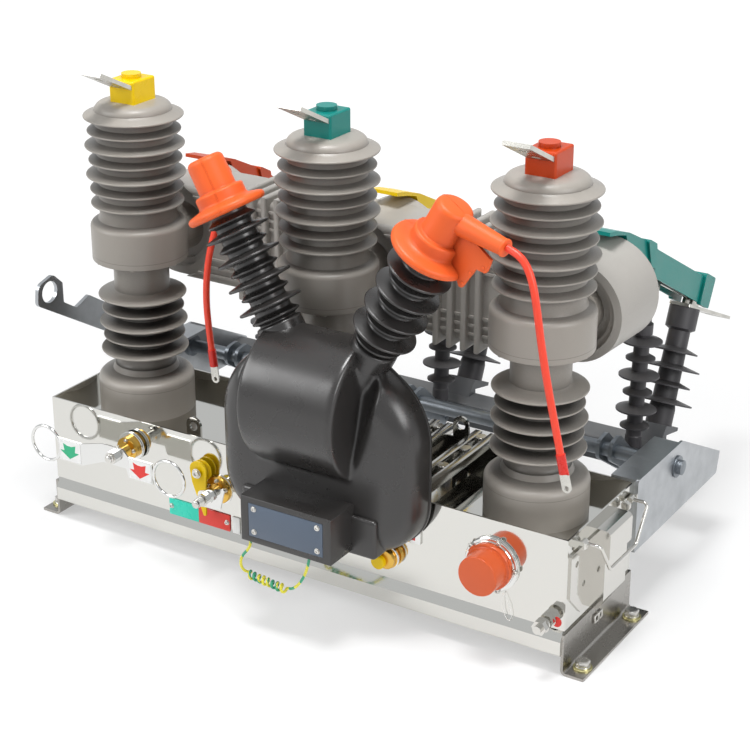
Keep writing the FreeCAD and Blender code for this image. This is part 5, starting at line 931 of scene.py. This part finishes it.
# Lower fitting: a brass bush with a steel ring and a yellow button that look out from
# under the casting, and the end of a steel strip with a red field beside the casting.
LOWER_AT = (0.1720, 0.1060)
lower_bush = [(0.0, 0.0), (0.0175, 0.0), (0.0175, 0.0030), (0.0150, 0.0034), (0.0150, 0.0080),
              (0.0163, 0.0084), (0.0163, 0.0120), (0.0148, 0.0124), (0.0148, 0.0190), (0.0138, 0.0200),
              (0.0, 0.0200)]
front_turned(lower_bush, LOWER_AT, FRONT_WALL, "lower_bush", BRASS)
lower_band = [(0.0163, 0.0), (0.0176, 0.0003), (0.0176, 0.0027), (0.0163, 0.0030)]
front_turned(lower_band, LOWER_AT, -0.1112, "lower_bush_band", CHROME)
lower_button = [(0.0, 0.0), (0.0105, 0.0), (0.0105, 0.0060), (0.0095, 0.0072), (0.0, 0.0076)]
front_turned(lower_button, (0.1640, 0.1020), -0.1224, "lower_button", YELLOW, vertices=48)
strip_face = FRONT_WALL - 0.0040
strip_end = block((0.1960, strip_face, 0.1350), (0.2200, FRONT_WALL, 0.1590), 0.0008, 2)
finished(strip_end, "lower_strip", CHROME)
strip_field = block((0.1990, strip_face - 0.0004, 0.1400), (0.2120, strip_face, 0.1540), 0.0001, 1)
finished(strip_field, "lower_strip_field", TAG_RED)


# Charging label: two-coloured plate under the charging lever, held by two screws, and the
# small white plate beside it.
LABEL_LOW, LABEL_HIGH, LABEL_FACE = 0.0630, 0.0896, -0.1046
for name, left, right, material in (
        ("charge_label_green", -0.2200, -0.1650, moulded("label_green", "2BE0C4", 0.3)),
        ("charge_label_red", -0.1650, -0.1080, moulded("label_red", "E8382C", 0.3)),
        ("small_white_plate", -0.1030, -0.0900, TAG_WHITE)):
    flat = block((left, LABEL_FACE, LABEL_LOW), (right, LABEL_FACE + 0.0016, LABEL_HIGH), 0.0003, 2)
    finished(flat, name, material)
label_screw = pan_screw(0.0032, 0.0030, "label_screw_1", towards_front((-0.2155, 0.0775), LABEL_FACE))
placed_copies(label_screw, "label_screw", moved((0.1030, 0, 0)))


# Charge pointer: yellow lacquered drop on a stud, with a second disc behind it, a spacer
# and a socket screw in front.
finish_node(["charge_pointer"], YELLOW)
POINTER_AT = (-0.152, 0.155)
back_disc = [(0.0, 0.0), (0.0160, 0.0), (0.0165, 0.0005), (0.0165, 0.0020), (0.0160, 0.0025), (0.0, 0.0025)]
front_turned(back_disc, POINTER_AT, -0.1070, "pointer_back_disc", YELLOW,
             "charge_pointer", 48)
spacer = [(0.0, 0.0), (0.0115, 0.0), (0.0115, 0.0058), (0.0, 0.0058)]
front_turned(spacer, POINTER_AT, -0.1098, "pointer_spacer", CHROME, "charge_pointer", 40)
pan_screw(0.0062, 0.0038, "pointer_screw", towards_front(POINTER_AT, -0.1222), "charge_pointer")


# Bail nuts: nickel hexagon nuts that hold the bail's two ends in their lugs.
for name, from_y, to_y in (("bail_nut_front", -0.0772, -0.0700), ("bail_nut_rear", 0.0560, 0.0632)):
    bpy.ops.mesh.primitive_cylinder_add(vertices=6, radius=0.0072, depth=to_y - from_y,
                                        location=(0.4506, (from_y + to_y) / 2, 0.187),
                                        rotation=(math.radians(90), 0, 0))
    finished(softened(bpy.context.object, 0.0007, 2, 50), name, SCREW_STEEL)


# Latch on the right end: bright wire staple over a small folded plate.
STAPLE_X, STAPLE_RADIUS = 0.4464, 0.0015
latch = [block((0.4425, -0.0170, 0.0340), (0.4436, 0.0090, 0.0500), 0.0004, 2)]
for start, end in (((-0.0150, 0.0365), (-0.0150, 0.0475)), ((0.0070, 0.0365), (0.0070, 0.0475)),
                   ((-0.0160, 0.0370), (0.0080, 0.0370)), ((-0.0160, 0.0470), (0.0080, 0.0470))):
    latch.append(round_bar((STAPLE_X, *start), (STAPLE_X, *end), STAPLE_RADIUS, vertices=16, soft=0.0004))
latch.append(block((0.4430, -0.0065, 0.0350), (0.4482, -0.0020, 0.0490), 0.0006, 2))
finished(joined(latch), "end_latch", SCREW_STEEL)


# Earth mark: round red field on the wall beside the earth stud, bare of its sign.
mark = [(0.0, 0.0), (0.0078, 0.0), (0.0078, 0.0003), (0.0, 0.0004)]
front_turned(mark, (0.4300, 0.0778), FRONT_WALL, "earth_mark", TAG_RED, vertices=40)


# Control plug: turned flange of bright metal with five screws, and a red-brown plastic cap
# with a notched grip ring.
# A little painted shade darkens the cap's narrow hollows.
PLUG_RED = moulded("plug_red", "D65A26", 0.30, mottle=0.05, dust=0.01, painted_shade=0.3)
PLUG_AT, GRIP_RADIUS = (0.3316, 0.138), 0.0335
cap_profile = [(0.0, 0.0), (0.0330, 0.0), (0.0338, 0.0008), (0.0338, 0.0060), (0.0328, 0.0072),
               (0.0305, 0.0076), (0.0294, 0.0088), (0.0290, 0.0300)]
cap_profile += arc((0.0270, 0.0348), 0.0020, 0, 85, 5) + [(0.0, 0.0370)]
cap_pieces = [turned(cap_profile, towards_front(PLUG_AT, -0.1106), 80)]
for index in range(3):
    angle = math.radians(25 + 120 * index)
    tooth = block((-0.0045, -0.0035, -0.0022), (0.0045, 0.0025, 0.0022), 0.0008, 2)
    tooth.data.transform(Matrix.Translation((PLUG_AT[0], -0.1125, PLUG_AT[1]))
                         @ Matrix.Rotation(-angle - math.pi / 2, 4, "Y")
                         @ Matrix.Translation((0, 0, -GRIP_RADIUS)))
    cap_pieces.append(tooth)
plug_cap_turned = finished(joined(cap_pieces), "plug_cap_turned", PLUG_RED, angle=40)
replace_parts(plug_cap_turned, "plug_cap")
flange = [(0.030, 0.0), (0.0400, 0.0), (0.0400, 0.0020), (0.0393, 0.0026), (0.0378, 0.0028),
          (0.0378, 0.0036), (0.0398, 0.0038), (0.0398, 0.0052), (0.0390, 0.0058), (0.0355, 0.0058),
          (0.0350, 0.0076), (0.030, 0.0080)]
plug_flange = front_turned(flange, PLUG_AT, FRONT_WALL, "plug_flange_turned", CHROME, vertices=88)
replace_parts(plug_flange, "plug_socket")
plug_screw = pan_screw(0.0036, 0.0042, "plug_screw_1",
                       towards_front((PLUG_AT[0] + 0.0376, PLUG_AT[1]), -0.1082))
placed_copies(plug_screw, "plug_screw", turned_about(PLUG_AT, (72, 144, 216, 288)))


# Tether: white nylon strand, a long closed loop that hangs from the plug's flange.
NYLON = moulded("white_nylon", "F4F4F1", 0.35, mottle=0.02, dust=0.0)
LOOP_RADIUS = 0.0200
bpy.ops.mesh.primitive_torus_add(major_segments=72, minor_segments=10, major_radius=LOOP_RADIUS,
                                 minor_radius=0.0006)
tether = bpy.context.object
for vertex in tether.data.vertices:
    down = 0.5 - vertex.co.y / (2 * LOOP_RADIUS)
    vertex.co.x *= 0.16 + 0.20 * down
tether.data.transform(towards_front((0.3560, 0.0795), -0.1060) @ Matrix.Rotation(math.radians(14), 4, "Z"))
finished(tether, "plug_tether", NYLON)
